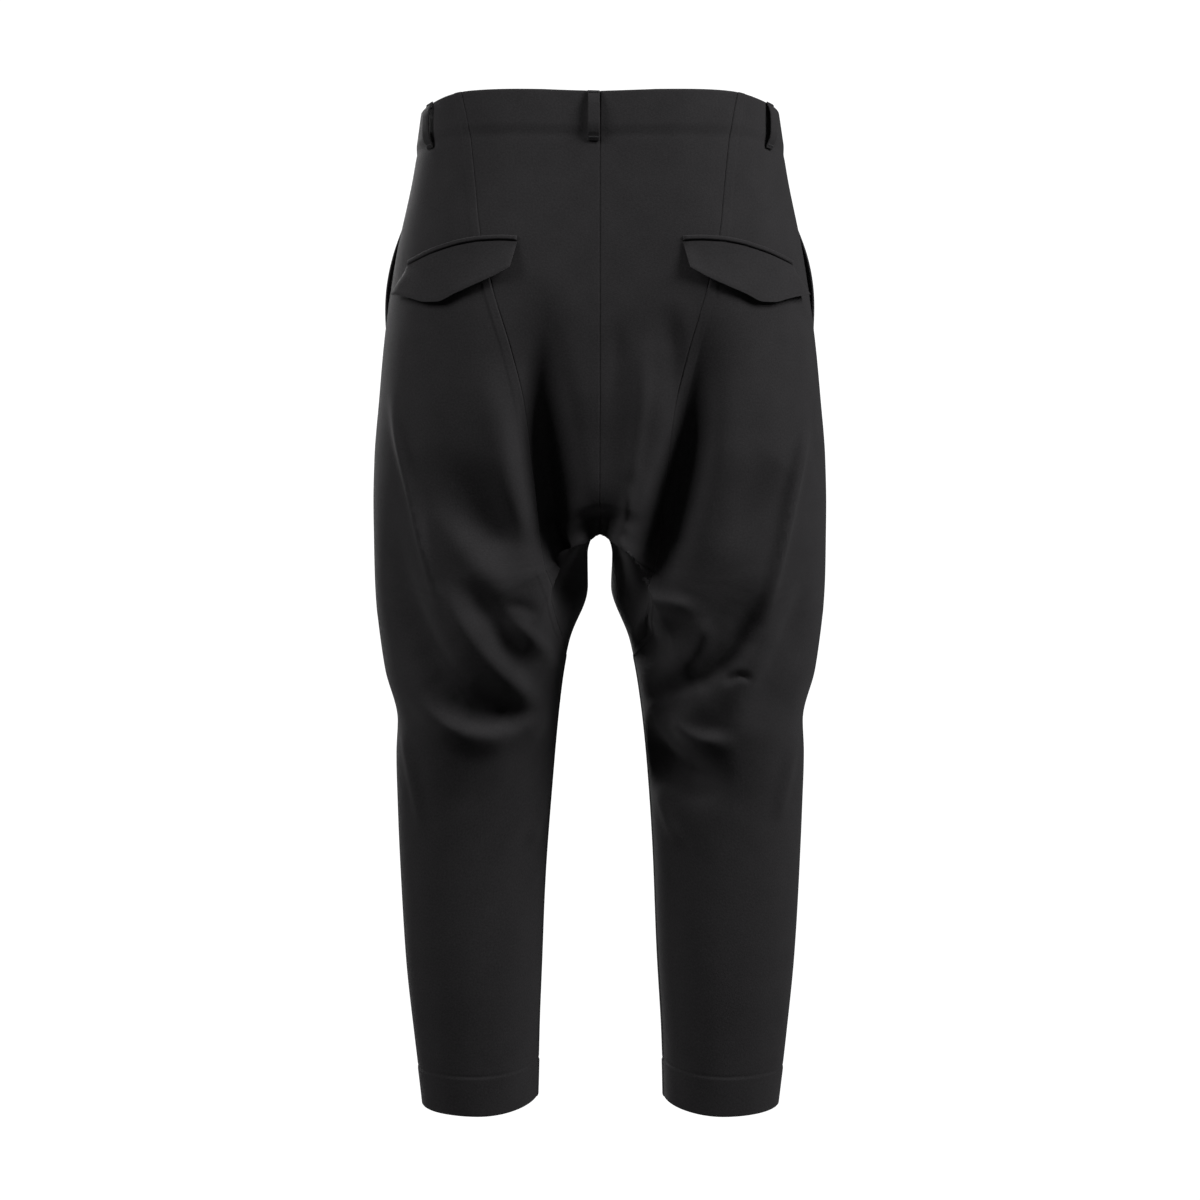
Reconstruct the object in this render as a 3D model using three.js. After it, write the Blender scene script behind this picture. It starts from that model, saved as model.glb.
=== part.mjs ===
// Cropped trousers with a low crotch, hollow and filled out as when worn.
// Millimetres, +Z up, +Y the wearer's forward and +X the wearer's right.
// The origin is the middle of the waist opening, level with its edge at the sides.
import * as THREE from "three";
import { mergeVertices } from "three/addons/utils/BufferGeometryUtils.js";

// A table: its rows as objects, with the columns' names
const table = (columns, rows) =>
  rows.map((row) => Object.fromEntries(columns.map((name, i) => [name, row[i]])));

// Driving dimensions of the cut
const CLOTH = 1.5; // thickness of one layer of cloth
const SEAM_GAP = 0.36; // clearance between two pieces along a row
const LAP_GAP = 0.5; // clearance between a piece and the one under it
const FACING_DEPTH = 38; // the waist is faced inside to this depth
const HEM_DEPTH = 34; // cloth turned up inside each leg
const LAYER_STEP = 3; // height over which a second layer of cloth ends

// Levels name the sections. A section's outer part lies at its level, and towards the inner
// edge it rises with the crotch.
const FLY_END_LEVEL = -176;
const POCKET_END_LEVEL = -198;
const CROTCH_LEVEL = -455; // its inner edge is the lowest point of the crotch
const SEAM_END_LEVEL = -572; // the back panel seam runs out here at the inseam
const HEM_LEVEL = -903.5;

// Stations run round half a section: inner edge, back, side, front, inner edge
const INNER_BACK = 0;
const SIDE = 2;
const INNER_FRONT = 4;
const SIDE_SEAM = 1.94;

// Half of each section. The inner edge is the centre line down to the crotch, and the
// inseam below it. The back and front columns are the rearmost and foremost points. Roundness
// makes a quarter ellipse of the run between them and the inner edge, and squareness draws that
// run's turn into a tighter corner.
const SECTION_COLUMNS = [
  "level", "outerX", "sideY", "backX", "backY", "frontX", "frontY",
  "innerX", "innerBackY", "innerBackZ", "innerFrontY", "innerFrontZ",
  "frontRoundness", "backRoundness", "backSquareness",
];
const SECTIONS = table(SECTION_COLUMNS, [
  [0, 163, -4, 50, -112, 50, 104, 0, -111, 0, 104, 0, 0, 0, 0],
  [-60, 172, -5, 65, -121, 60, 111, 0, -119, -60, 110, -60, 0, 0, 0],
  [-133, 186.5, -6, 80, -133, 70, 118, 0, -130, -133, 116, -133, 0, 0, 0],
  [-207, 197, -6, 88, -141, 80, 122, 0, -137, -207, 118, -206, 0, 0, 0],
  [-262, 202, -6, 92, -143, 88, 124, 0, -137, -261, 116, -258, 0, 0, 0],
  [-317, 206.5, -6, 98, -142, 95, 124, 0, -133, -308, 106, -302, 0, 0, 0],
  [-357, 207.5, -6, 102, -139, 100, 122, 0, -132, -341, 91, -331, 0.02, 0.1, 0.2],
  [-390, 207, -6, 105, -136, 104, 119, 0, -127, -361, 65, -356, 0.08, 0.3, 0.5],
  [-425, 206, -7, 108, -133, 107, 116, 0, -84, -373, 28, -378, 0.25, 0.8, 0.76],
  [CROTCH_LEVEL, 204, -8, 110, -130, 109, 113, 0, -14, -386, -14, -386, 0.6, 1, 0.8],
  [-462, 203.2, -8, 110, -129, 109, 112, 7.5, -11.5, -389.5, -11.5, -389.5, 0.78, 1, 0.8],
  [-480, 201, -8, 110, -127, 110, 109, 11.3, -9, -404, -9, -404, 0.95, 1, 0.77],
  [-510, 196.5, -9, 111, -122, 111, 102, 11.2, -8, -432, -8, -432, 1, 1, 0.66],
  [-556, 185.4, -10.5, 112, -110, 112, 90, 28, -8, -484, -8, -484, 1, 1, 0.45],
  [-585, 186.5, -12, 113, -100, 112, 82, 35, -9, -522, -9, -522, 1, 1, 0.32],
  [-635, 185, -14, 114, -90, 112, 70, 42.5, -11, -590, -11, -590, 1, 1, 0.15],
  [-700, 182, -17, 115, -87, 112, 58, 48.5, -15, -675, -15, -675, 1, 1, 0],
  [-770, 177.5, -19, 114, -87, 112, 50, 52.3, -19, -760, -19, -760, 1, 1, 0],
  [-840, 170, -20, 112, -83, 111, 44, 56, -20, -838, -20, -838, 1, 1, 0],
  [HEM_LEVEL, 162.5, -20, 110, -79, 109, 40, 57.5, -20, HEM_LEVEL, -20, HEM_LEVEL, 1, 1, 0],
]);
const LIFT_REACH = 1.25; // stations over which a section rises to its inner edge

// How far the two free edges lie above their levels, by station
const EDGES = table(["station", "waistRise", "hemRise"], [
  [0, 5, 6],
  [1, 6.5, -6],
  [1.4, 8, -5],
  [1.75, 2, -3],
  [2, -1, -1],
  [3, -6, 5],
  [4, -8, 6],
]);
const EDGE_REACH = 120; // height over which a section levels out above or below its edge

// The seam between the centre back and the side back
const BACK_SEAM = table(["level", "x"], [
  [0, 123],
  [-32, 116.5],
  [-74, 111],
  [-121, 106],
  [-167, 96],
  [-231, 77],
  [-270, 67],
  [-322, 59.5],
  [-382, 54],
  [CROTCH_LEVEL, 48.5],
  [-498, 39],
  [-546, 33],
  [SEAM_END_LEVEL, 30],
]);

// Side pocket: its mouth slants from under the waist facing back and down to the side seam
const MOUTH_TOP_STATION = 2.24;
const MOUTH_GAPE = 4; // how far the mouth's edge stands off at its widest
const MOUTH_SAG = 1.4; // above 1 the mouth is widest below its middle
const MOUTH_REACH = 30; // width of the front that lifts with the edge
const UNDERLAP = 13; // width of the pocket facing hidden under the front
const FACING_DIP = 10; // width over which the pocket facing drops below the front

// Fly: the left front laps over the right one, and a shield lies behind both
const FLY_OVERLAP = 11;
const FLY_TURN = 2; // the lap is clear of the right front this far before the centre
const SHIELD = { width: 44, top: -7, bottom: -192 };

// Back pocket, in x and z of the back view: a narrow welt with a pointed flap under it
const WELT_HEIGHT = 4.6;
const WELT_THICKNESS = 2.4;
const FLAP_THICKNESS = 2.2;
const FLAP_LIFT = 1.8; // how far the flap's lower edge stands off
const FLAP_SLOT = 0.6; // the slit between the welt and the flap
const FLAP_ROWS = 4;
const FLAP = table(["topX", "topZ", "bottomX", "bottomZ"], [
  [73, -131, 79, -155],
  [88, -130.3, 94, -163.5],
  [104, -130.7, 109, -170.5],
  [122, -132.8, 125, -177.5],
  [138, -136.3, 140, -184],
  [148, -138.8, 151, -183.4],
  [160, -142.7, 166, -178],
  [172.5, -147, 181.5, -172.5],
]);

// Belt loops: where each one stands, and how it bows off the cloth
const LOOP_WIDTH = 10.5;
const LOOP_THICKNESS = 2;
const LOOPS = table(["name", "side", "face", "x"], [
  ["belt_loop_back", -1, "back", 5.6],
  ["belt_loop_side_left", -1, "back", 151],
  ["belt_loop_side_right", 1, "back", 151],
  ["belt_loop_front_left", -1, "front", 78],
  ["belt_loop_front_right", 1, "front", 78],
]);
const BOW = table(["level", "out"], [
  [-0.5, 0.5],
  [-2.5, 0.6],
  [-8, 5],
  [-13, 7],
  [-28, 7],
  [-35, 5],
  [-40, 0.5],
  [-44, 0.5],
]);

// Waist button
const BUTTON = { radius: 8.5, thickness: 2.4, rim: 0.5, x: -2, level: -19 };
const BUTTON_HOLE = { radius: 1, spread: 1.9 };

// Soft folds, each along a curve through three points of the view named: x and z from the
// back or front, y and z from a side. Widths are those of the slopes to the left and right of
// the curve in that view, a fade is the share of the fold over which that end dies away, and a
// negative height is a trough. The small creases are left to scene.py.
const FOLD_COLUMNS = [
  "view", "a1", "z1", "a2", "z2", "a3", "z3", "left", "right", "fadeIn", "fadeOut", "height",
];
const FOLDS = table(FOLD_COLUMNS, [
  // back of the seat: its tongue between the two deep hollows
  ["back", -50, -186, -44, -330, -12, -484, 25, 15, 0.4, 0.25, -28],
  ["back", 97, -200, 66, -330, 16, -488, 15, 24, 0.4, 0.25, -27],
  // left leg, back: the ridge beside the hollow, and slack that runs from the hip in to the knee
  ["back", -98, -226, -74, -345, -36, -470, 16, 10, 0.35, 0.3, 8],
  ["back", -156, -312, -110, -356, -60, -430, 21, 19, 0.4, 0.3, -15],
  ["back", -150, -360, -110, -411, -74, -450, 14, 12, 0.35, 0.35, 7],
  ["back", -136, -428, -110, -482, -42, -554, 12, 12, 0.3, 0.2, 9],
  ["back", -190, -330, -152, -488, -56, -552, 17, 14, 0.5, 0.15, -16],
  ["back", -178, -500, -122, -564, -40, -546, 13, 12, 0.35, 0.15, 9],
  ["back", -188, -250, -167, -346, -137, -474, 9, 9, 0.3, 0.3, 6],
  // right leg, back
  ["back", 116, -240, 96, -352, 60, -446, 16, 20, 0.35, 0.35, 7],
  ["back", 30, -474, 56, -478, 86, -474, 15, 13, 0.15, 0.4, -10],
  ["back", 139, -428, 114, -490, 40, -542, 14, 13, 0.4, 0.15, -12],
  ["back", 184, -280, 166, -362, 140, -484, 9, 9, 0.3, 0.3, 6],
  ["back", 186, -400, 165, -490, 110, -576, 12, 12, 0.4, 0.3, -8],
  ["back", 64, -544, 86, -570, 124, -568, 11, 11, 0.3, 0.35, 8],
  ["back", 28, -556, 60, -590, 118, -608, 16, 14, 0.15, 0.4, -14],
  // front: the same slack, less deep
  ["front", -50, -240, -56, -330, -30, -448, 19, 19, 0.35, 0.35, -12],
  ["front", -84, -262, -78, -360, -48, -462, 16, 16, 0.35, 0.35, 6],
  ["front", -160, -452, -122, -516, -70, -540, 14, 14, 0.35, 0.35, -7],
  ["front", -172, -500, -132, -560, -72, -574, 13, 13, 0.35, 0.35, 6],
  ["front", 46, -225, 58, -326, 32, -444, 20, 20, 0.35, 0.35, -12],
  ["front", 82, -280, 80, -366, 52, -452, 17, 17, 0.35, 0.35, 6],
  ["front", 152, -470, 118, -528, 66, -552, 14, 14, 0.35, 0.35, -7],
  ["front", 168, -520, 128, -572, 74, -588, 12, 12, 0.35, 0.35, 6],
  // sides: long soft lines from the hip towards the knee
  ["left", 40, -250, 30, -370, -10, -480, 15, 15, 0.35, 0.35, 3],
  ["left", 10, -430, 30, -500, 62, -530, 14, 14, 0.35, 0.35, -4],
  ["right", 38, -270, 34, -380, 2, -500, 15, 15, 0.35, 0.35, 3],
  ["right", 6, -450, 30, -515, 60, -548, 14, 14, 0.35, 0.35, -4],
]);
const FOLD_STEPS = 8; // straight runs in each fold's curve
const FOLD_FACING = [0.1, 0.6]; // a fold fades where the cloth turns away from its view
const VIEWS = { // which way the viewer is, the axis across the view, and which way it runs
  back: { towards: new THREE.Vector3(0, -1, 0), axis: "x", handed: 1 },
  front: { towards: new THREE.Vector3(0, 1, 0), axis: "x", handed: -1 },
  left: { towards: new THREE.Vector3(-1, 0, 0), axis: "y", handed: -1 },
  right: { towards: new THREE.Vector3(1, 0, 0), axis: "y", handed: 1 },
};

// Rows of points down a panel: the level each run ends at and the rows it has
const ROWS = table(["to", "rows"], [
  [-FACING_DEPTH, 2],
  [-FACING_DEPTH - LAYER_STEP, 1],
  [FLY_END_LEVEL, 6],
  [POCKET_END_LEVEL, 1],
  [CROTCH_LEVEL, 15],
  [-462, 1],
  [SEAM_END_LEVEL, 7],
  [-640, 3],
  [HEM_LEVEL + HEM_DEPTH + LAYER_STEP, 9],
  [HEM_LEVEL + HEM_DEPTH, 1],
  [HEM_LEVEL, 2],
]);
const COLUMNS = { backCentre: 8, backSide: 11, front: 13, pocketFacing: 4 };

const { lerp, clamp } = THREE.MathUtils;
const smooth = (x) => THREE.MathUtils.smoothstep(x, 0, 1);
const ramp = (from, to, x) => smooth((x - from) / (to - from));

// A curve through one column of a table against another, with no overshoot
function curveOf(rows, key, name) {
  const sorted = [...rows].sort((p, q) => p[key] - q[key]);
  const xs = sorted.map((row) => row[key]);
  const ys = sorted.map((row) => row[name]);
  const last = xs.length - 1;
  const slopes = xs.slice(1).map((x, i) => (ys[i + 1] - ys[i]) / (x - xs[i]));
  const tangents = ys.map((_, i) => {
    if (i === 0) return slopes[0];
    if (i === last) return slopes[last - 1];
    const [p, q] = [slopes[i - 1], slopes[i]];
    return p * q <= 0 ? 0 : (2 * p * q) / (p + q);
  });
  return (x) => {
    let i = 0;
    while (i < last - 1 && x > xs[i + 1]) i += 1;
    const h = xs[i + 1] - xs[i];
    const u = clamp((x - xs[i]) / h, 0, 1);
    const [u2, u3] = [u * u, u * u * u];
    return (
      (2 * u3 - 3 * u2 + 1) * ys[i] +
      (u3 - 2 * u2 + u) * h * tangents[i] +
      (3 * u2 - 2 * u3) * ys[i + 1] +
      (u3 - u2) * h * tangents[i + 1]
    );
  };
}

const sectionCurves = SECTION_COLUMNS.map((name) => [name, curveOf(SECTIONS, "level", name)]);
const waistRise = curveOf(EDGES, "station", "waistRise");
const hemRise = curveOf(EDGES, "station", "hemRise");
const backSeamX = curveOf(BACK_SEAM, "level", "x");
const bow = curveOf(BOW, "level", "out");

const sections = new Map();
function sectionAt(level) {
  if (!sections.has(level)) {
    const row = sectionCurves.map(([name, curve]) => [name, curve(level)]);
    sections.set(level, Object.fromEntries(row));
  }
  return sections.get(level);
}

// A point of the right half's smooth form, before folds
function formPoint(level, station) {
  const row = sectionAt(level);
  const back = station <= SIDE;
  const a = back ? station : INNER_FRONT - station; // 0 inner edge, 1 back or front, 2 side
  const [bulgeX, bulgeY] = back ? [row.backX, row.backY] : [row.frontX, row.frontY];
  const innerY = back ? row.innerBackY : row.innerFrontY;
  const innerZ = back ? row.innerBackZ : row.innerFrontZ;
  const roundness = back ? row.backRoundness : row.frontRoundness;
  const squareness = back ? row.backSquareness : 0;
  let x;
  let y;
  if (a <= 1) {
    const angle = (a * Math.PI) / 2;
    const width = bulgeX - row.innerX;
    const roundX = bulgeX - width * Math.cos(angle);
    const corner = clamp((roundX - row.innerX) / (width * (1 - squareness)), 0, 1);
    const roundY = innerY + (bulgeY - innerY) * Math.sqrt(1 - (1 - corner) ** 2);
    x = lerp(lerp(row.innerX, bulgeX, a), roundX, roundness);
    y = lerp(lerp(innerY, bulgeY, smooth(a)), roundY, roundness);
  } else {
    const angle = ((a - 1) * Math.PI) / 2;
    x = bulgeX + (row.outerX - bulgeX) * Math.sin(angle);
    y = row.sideY + (bulgeY - row.sideY) * Math.cos(angle);
  }
  const lift = (innerZ - level) * (1 - smooth(a / LIFT_REACH));
  const atWaist = ramp(-EDGE_REACH, 0, level) * waistRise(station);
  const atHem = ramp(HEM_LEVEL + EDGE_REACH, HEM_LEVEL, level) * hemRise(station);
  return new THREE.Vector3(x, y, level + lift + atWaist + atHem);
}

// The same on either side, -1 left and 1 right. Stations past an inner edge go on to the
// other half above the crotch, and round the same leg below it.
function form(side, level, station) {
  if (station >= INNER_BACK && station <= INNER_FRONT) {
    const p = formPoint(level, station);
    p.x *= side;
    return p;
  }
  const mirrored = station < INNER_BACK ? -station : 2 * INNER_FRONT - station;
  if (level >= CROTCH_LEVEL) return form(-side, level, mirrored);
  return form(side, level, INNER_FRONT - mirrored);
}

// The outward normal of a surface. At the crotch, where four seams meet, it points down.
const NORMAL_STEP = { station: 0.02, level: 1.5 };
function normalOf(surface, side, level, station) {
  const { station: ds, level: dl } = NORMAL_STEP;
  const atInnerEdge = station < ds || station > INNER_FRONT - ds;
  if (level === CROTCH_LEVEL && atInnerEdge) return new THREE.Vector3(0, 0, -1);
  const along = surface(side, level, station + ds).sub(surface(side, level, station - ds));
  const upper = surface(side, Math.min(level + dl, 0), station);
  const up = upper.sub(surface(side, Math.max(level - dl, HEM_LEVEL), station));
  return along.cross(up).multiplyScalar(side).normalize();
}

// The folds' curves as short straight runs
const folds = FOLDS.map((fold) => {
  const curve = (u) => {
    const [p, q, r] = [2 * (u - 0.5) * (u - 1), 4 * u * (1 - u), 2 * u * (u - 0.5)];
    return [
      p * fold.a1 + q * fold.a2 + r * fold.a3,
      p * fold.z1 + q * fold.z2 + r * fold.z3,
    ];
  };
  const points = Array.from({ length: FOLD_STEPS + 1 }, (_, i) => curve(i / FOLD_STEPS));
  return { ...fold, ...VIEWS[fold.view], points };
});

// Which way a section of the form faces, level with the floor
function sectionFacing(side, level, station) {
  const { station: ds } = NORMAL_STEP;
  const along = form(side, level, station + ds).sub(form(side, level, station - ds));
  return new THREE.Vector3(along.y * side, -along.x * side, 0).normalize();
}

// The folds move the cloth level, between the way that it faces and the fold's viewer
function addFolds(p, facing) {
  const moved = p.clone();
  for (const fold of folds) {
    const share = ramp(...FOLD_FACING, facing.dot(fold.towards));
    if (share === 0) continue;
    const a = p[fold.axis];
    let nearest = Infinity;
    let along = 0;
    let cross = 0;
    for (let i = 0; i < FOLD_STEPS; i += 1) {
      const [[a1, z1], [a2, z2]] = [fold.points[i], fold.points[i + 1]];
      const [da, dz] = [a2 - a1, z2 - z1];
      const u = clamp(((a - a1) * da + (p.z - z1) * dz) / (da * da + dz * dz), 0, 1);
      const [offA, offZ] = [a - a1 - u * da, p.z - z1 - u * dz];
      const distance = Math.hypot(offA, offZ);
      if (distance < nearest) {
        [nearest, along] = [distance, (i + u) / FOLD_STEPS];
        cross = (offZ * da - offA * dz) * fold.handed;
      }
    }
    const width = cross > 0 ? fold.right : fold.left;
    const ends = smooth(along / fold.fadeIn) * smooth((1 - along) / fold.fadeOut);
    const height = fold.height * share * ends * Math.exp(-((nearest / width) ** 2));
    moved.addScaledVector(facing.clone().add(fold.towards).normalize(), height);
  }
  return moved;
}

// The outer face of the cloth, folds and all
function cloth(side, level, station) {
  return addFolds(form(side, level, station), sectionFacing(side, level, station));
}

// Distance round a section of the form from its inner back edge, and back to a station
const GIRTH_STEPS = 96;
const HALVINGS = 40; // of the range in which a station is sought
const girthTables = new Map();
function girths(level) {
  if (girthTables.has(level)) return girthTables.get(level);
  const rows = [[0, 0]];
  for (let i = 1; i <= GIRTH_STEPS; i += 1) {
    const [from, to] = [i - 1, i].map((n) => (INNER_FRONT * n) / GIRTH_STEPS);
    const step = formPoint(level, from).distanceTo(formPoint(level, to));
    rows.push([to, rows[i - 1][1] + step]);
  }
  girthTables.set(level, rows);
  return rows;
}
function convert(rows, from, to, value) {
  let i = 0;
  while (i < rows.length - 2 && value > rows[i + 1][from]) i += 1;
  const share = (value - rows[i][from]) / (rows[i + 1][from] - rows[i][from]);
  return lerp(rows[i][to], rows[i + 1][to], share);
}
const girthAt = (level, station) => convert(girths(level), 0, 1, station);
const stationAt = (level, girth) => convert(girths(level), 1, 0, girth);

// The station with a given x, behind the side or before it
function stationAtX(level, x, face) {
  let [inner, outer] = face === "back" ? [INNER_BACK, SIDE] : [INNER_FRONT, SIDE];
  for (let i = 0; i < HALVINGS; i += 1) {
    const middle = (inner + outer) / 2;
    if (formPoint(level, middle).x < x) inner = middle;
    else outer = middle;
  }
  return (inner + outer) / 2;
}
const backSeam = (level) => stationAtX(level, backSeamX(level), "back");

// Near the centre front, the station a distance past the centre line
const pastFront = (level, distance) => INNER_FRONT + distance / sectionAt(level).frontX;

const LEVELS = [0];
for (const { to, rows } of ROWS) {
  const from = LEVELS.at(-1);
  for (let i = 1; i <= rows; i += 1) LEVELS.push(i === rows ? to : lerp(from, to, i / rows));
}

// Cloth is doubled at the waist facing and at the turned-up hem
function layers(level) {
  const doubled = level >= -FACING_DEPTH || level <= HEM_LEVEL + HEM_DEPTH;
  return doubled ? 2 * CLOTH : CLOTH;
}

// A closed wall between two grids of points, with rows going down and columns to the right
// as seen from outside. The columns of a mirrored wall go to the left.
const MERGE = 1e-3; // points closer than this are one
function wallGeometry(outer, inner, mirrored) {
  const [rows, columns] = [outer.length, outer[0].length];
  const points = [...outer.flat(), ...inner.flat()];
  const o = (r, c) => r * columns + c;
  const i = (r, c) => rows * columns + o(r, c);
  const index = [];
  const same = (a, b) => points[a].distanceTo(points[b]) < MERGE;
  const triangle = (a, b, c) => {
    if (same(a, b) || same(b, c) || same(c, a)) return;
    index.push(...(mirrored ? [a, c, b] : [a, b, c]));
  };
  const quad = (a, b, c, d) => {
    triangle(a, b, c);
    triangle(a, c, d);
  };
  for (let r = 0; r < rows - 1; r += 1) {
    for (let c = 0; c < columns - 1; c += 1) {
      quad(o(r, c), o(r + 1, c), o(r + 1, c + 1), o(r, c + 1));
      quad(i(r, c), i(r, c + 1), i(r + 1, c + 1), i(r + 1, c));
    }
    quad(o(r, 0), i(r, 0), i(r + 1, 0), o(r + 1, 0));
    quad(o(r, columns - 1), o(r + 1, columns - 1), i(r + 1, columns - 1), i(r, columns - 1));
  }
  for (let c = 0; c < columns - 1; c += 1) {
    quad(o(0, c), o(0, c + 1), i(0, c + 1), i(0, c));
    quad(o(rows - 1, c), i(rows - 1, c), i(rows - 1, c + 1), o(rows - 1, c + 1));
  }
  const geometry = new THREE.BufferGeometry().setFromPoints(points).setIndex(index);
  return mergeVertices(geometry, MERGE);
}

// A wall on the cloth, from rows of points {level, station, out, thickness}, where out is
// the distance from the cloth's outer face to the wall's
function wall(side, grid) {
  const outer = [];
  const inner = [];
  for (const row of grid) {
    const face = row.map(({ level, station, out, thickness }) => {
      const p = cloth(side, level, station);
      const normal = normalOf(cloth, side, level, station);
      return [out, out - thickness].map((d) => p.clone().addScaledVector(normal, d));
    });
    outer.push(face.map((pair) => pair[0]));
    inner.push(face.map((pair) => pair[1]));
  }
  const geometry = wallGeometry(outer, inner, side < 0);
  geometry.computeVertexNormals();
  return geometry;
}

// Stations spaced evenly across a panel, half a seam gap inside its two edges
function across(level, from, to, columns) {
  const start = girthAt(level, from) + SEAM_GAP / 2;
  const end = girthAt(level, to) - SEAM_GAP / 2;
  return Array.from({ length: columns + 1 }, (_, c) =>
    stationAt(level, lerp(start, end, c / columns)),
  );
}
const panelRow = (level, from, to, columns) =>
  across(level, from, to, columns).map((station) => ({
    level, station, out: 0, thickness: layers(level),
  }));

// Centre back: from the centre seam to the panel seam, down to a tip at the inseam
const TIP = { girth: 0.5, above: 4 };
function backCentre(side) {
  const rows = LEVELS.filter((level) => level > SEAM_END_LEVEL);
  const grid = rows.map((level) =>
    panelRow(level, INNER_BACK, backSeam(level), COLUMNS.backCentre),
  );
  const tip = {
    level: SEAM_END_LEVEL + TIP.above,
    station: stationAt(SEAM_END_LEVEL, TIP.girth),
    out: 0,
    thickness: CLOTH,
  };
  return wall(side, [...grid, grid[0].map(() => tip)]);
}

// Side back: from the panel seam, and below it the inseam, to the side seam
function backSide(side) {
  const from = (level) => (level > SEAM_END_LEVEL ? backSeam(level) : INNER_BACK);
  const grid = LEVELS.map((level) => panelRow(level, from(level), SIDE_SEAM, COLUMNS.backSide));
  return wall(side, grid);
}

// How far down the pocket mouth a level is, the station of its edge, and how far it gapes
const MOUTH_TOP_LEVEL = -FACING_DEPTH;
const mouthShare = (level) =>
  (MOUTH_TOP_LEVEL - level) / (MOUTH_TOP_LEVEL - POCKET_END_LEVEL);
const mouth = (level) => lerp(MOUTH_TOP_STATION, SIDE_SEAM, clamp(mouthShare(level), 0, 1));
function gape(level, station) {
  const share = clamp(mouthShare(level), 0, 1);
  const reach = (girthAt(level, station) - girthAt(level, mouth(level))) / MOUTH_REACH;
  return MOUTH_GAPE * Math.sin(Math.PI * share ** MOUTH_SAG) * (1 - smooth(reach));
}

// Front: from the pocket mouth and the side seam to the centre front and the inseam. The
// left one has the fly cut on.
function front(side) {
  const last = COLUMNS.front;
  const grid = LEVELS.map((level) => {
    const row = panelRow(level, mouth(level), INNER_FRONT, last);
    for (const point of row) point.out = gape(level, point.station);
    if (side > 0 || level < FLY_END_LEVEL) return row;
    const lap = { level, out: CLOTH + LAP_GAP, thickness: CLOTH };
    const overlap = level > FLY_END_LEVEL ? FLY_OVERLAP : -SEAM_GAP / 2;
    row[last - 1] = { ...lap, station: pastFront(level, -FLY_TURN) };
    row[last] = { ...lap, station: pastFront(level, overlap) };
    return row;
  });
  return wall(side, grid);
}

// Pocket facing: fills the corner between the pocket mouth and the side seam, and runs on
// under the front's edge
function pocketFacing(side) {
  const levels = LEVELS.filter((level) => level >= POCKET_END_LEVEL);
  const lapStart = MOUTH_TOP_LEVEL - LAYER_STEP;
  const grid = levels.map((level) => {
    const edge = girthAt(level, mouth(level));
    const lap = level < lapStart ? UNDERLAP : 0;
    const end = stationAt(level, edge + lap);
    const row = panelRow(level, SIDE_SEAM, end, COLUMNS.pocketFacing);
    if (level > lapStart) return row;
    for (const point of row) {
      const distance = edge - girthAt(level, point.station);
      point.out = -(CLOTH + LAP_GAP) * (1 - smooth(distance / FACING_DIP));
    }
    return row;
  });
  return wall(side, grid);
}

// A point on the back at x and z of the back view
const backPoint = (x, z, out, thickness) => ({
  level: z, station: stationAtX(z, x, "back"), out, thickness,
});

// The flap's table with a further row between each two
const flapColumns = FLAP.flatMap((row, i) => {
  if (i === 0) return [row];
  const between = Object.entries(row).map(([name, value]) => [
    name,
    (value + FLAP[i - 1][name]) / 2,
  ]);
  return [Object.fromEntries(between), row];
});

function welt(side) {
  const out = LAP_GAP + WELT_THICKNESS;
  const row = (rise) =>
    flapColumns.map(({ topX, topZ }) => backPoint(topX, topZ + rise, out, WELT_THICKNESS));
  return wall(side, [row(FLAP_SLOT + WELT_HEIGHT), row(FLAP_SLOT)]);
}

function flap(side) {
  const grid = Array.from({ length: FLAP_ROWS + 1 }, (_, r) => {
    const share = r / FLAP_ROWS;
    const out = LAP_GAP + FLAP_THICKNESS + FLAP_LIFT * share ** 2;
    return flapColumns.map(({ topX, topZ, bottomX, bottomZ }) =>
      backPoint(lerp(topX, bottomX, share), lerp(topZ, bottomZ, share), out, FLAP_THICKNESS),
    );
  });
  return wall(side, grid);
}

function beltLoop(side, face, x) {
  const middle = stationAtX(BOW[0].level, x, face);
  const grid = BOW.map(({ level }) => {
    const girth = girthAt(level, middle);
    return [-0.5, 0, 0.5].map((share) => ({
      level,
      station: stationAt(level, girth + share * LOOP_WIDTH),
      out: bow(level) + LOOP_THICKNESS,
      thickness: LOOP_THICKNESS,
    }));
  });
  return wall(side, grid);
}

function flyShield() {
  const levels = LEVELS.filter((level) => level < SHIELD.top && level > SHIELD.bottom);
  const grid = [SHIELD.top, ...levels, SHIELD.bottom].map((level) =>
    [-0.5, -0.25, 0, 0.25, 0.5].map((share) => ({
      level,
      station: pastFront(level, share * SHIELD.width),
      out: -layers(level) - LAP_GAP,
      thickness: CLOTH,
    })),
  );
  return wall(1, grid);
}

// A round button with a raised rim and four holes, its back at z = 0
function buttonGeometry() {
  const shape = new THREE.Shape().absarc(0, 0, BUTTON.radius - BUTTON.rim, 0, 2 * Math.PI);
  for (const [x, y] of [[-1, -1], [1, -1], [1, 1], [-1, 1]]) {
    const hole = new THREE.Path();
    const at = [x * BUTTON_HOLE.spread, y * BUTTON_HOLE.spread];
    shape.holes.push(hole.absarc(...at, BUTTON_HOLE.radius, 0, 2 * Math.PI));
  }
  const geometry = new THREE.ExtrudeGeometry(shape, {
    depth: BUTTON.thickness - 2 * BUTTON.rim,
    bevelEnabled: true,
    bevelSegments: 1,
    bevelSize: BUTTON.rim,
    bevelThickness: BUTTON.rim,
    curveSegments: 8,
  });
  return geometry.translate(0, 0, BUTTON.rim);
}

const wool = new THREE.MeshStandardMaterial({ color: 0x222123, roughness: 0.92, metalness: 0 });
const horn = new THREE.MeshStandardMaterial({ color: 0x17161a, roughness: 0.42, metalness: 0 });

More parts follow.
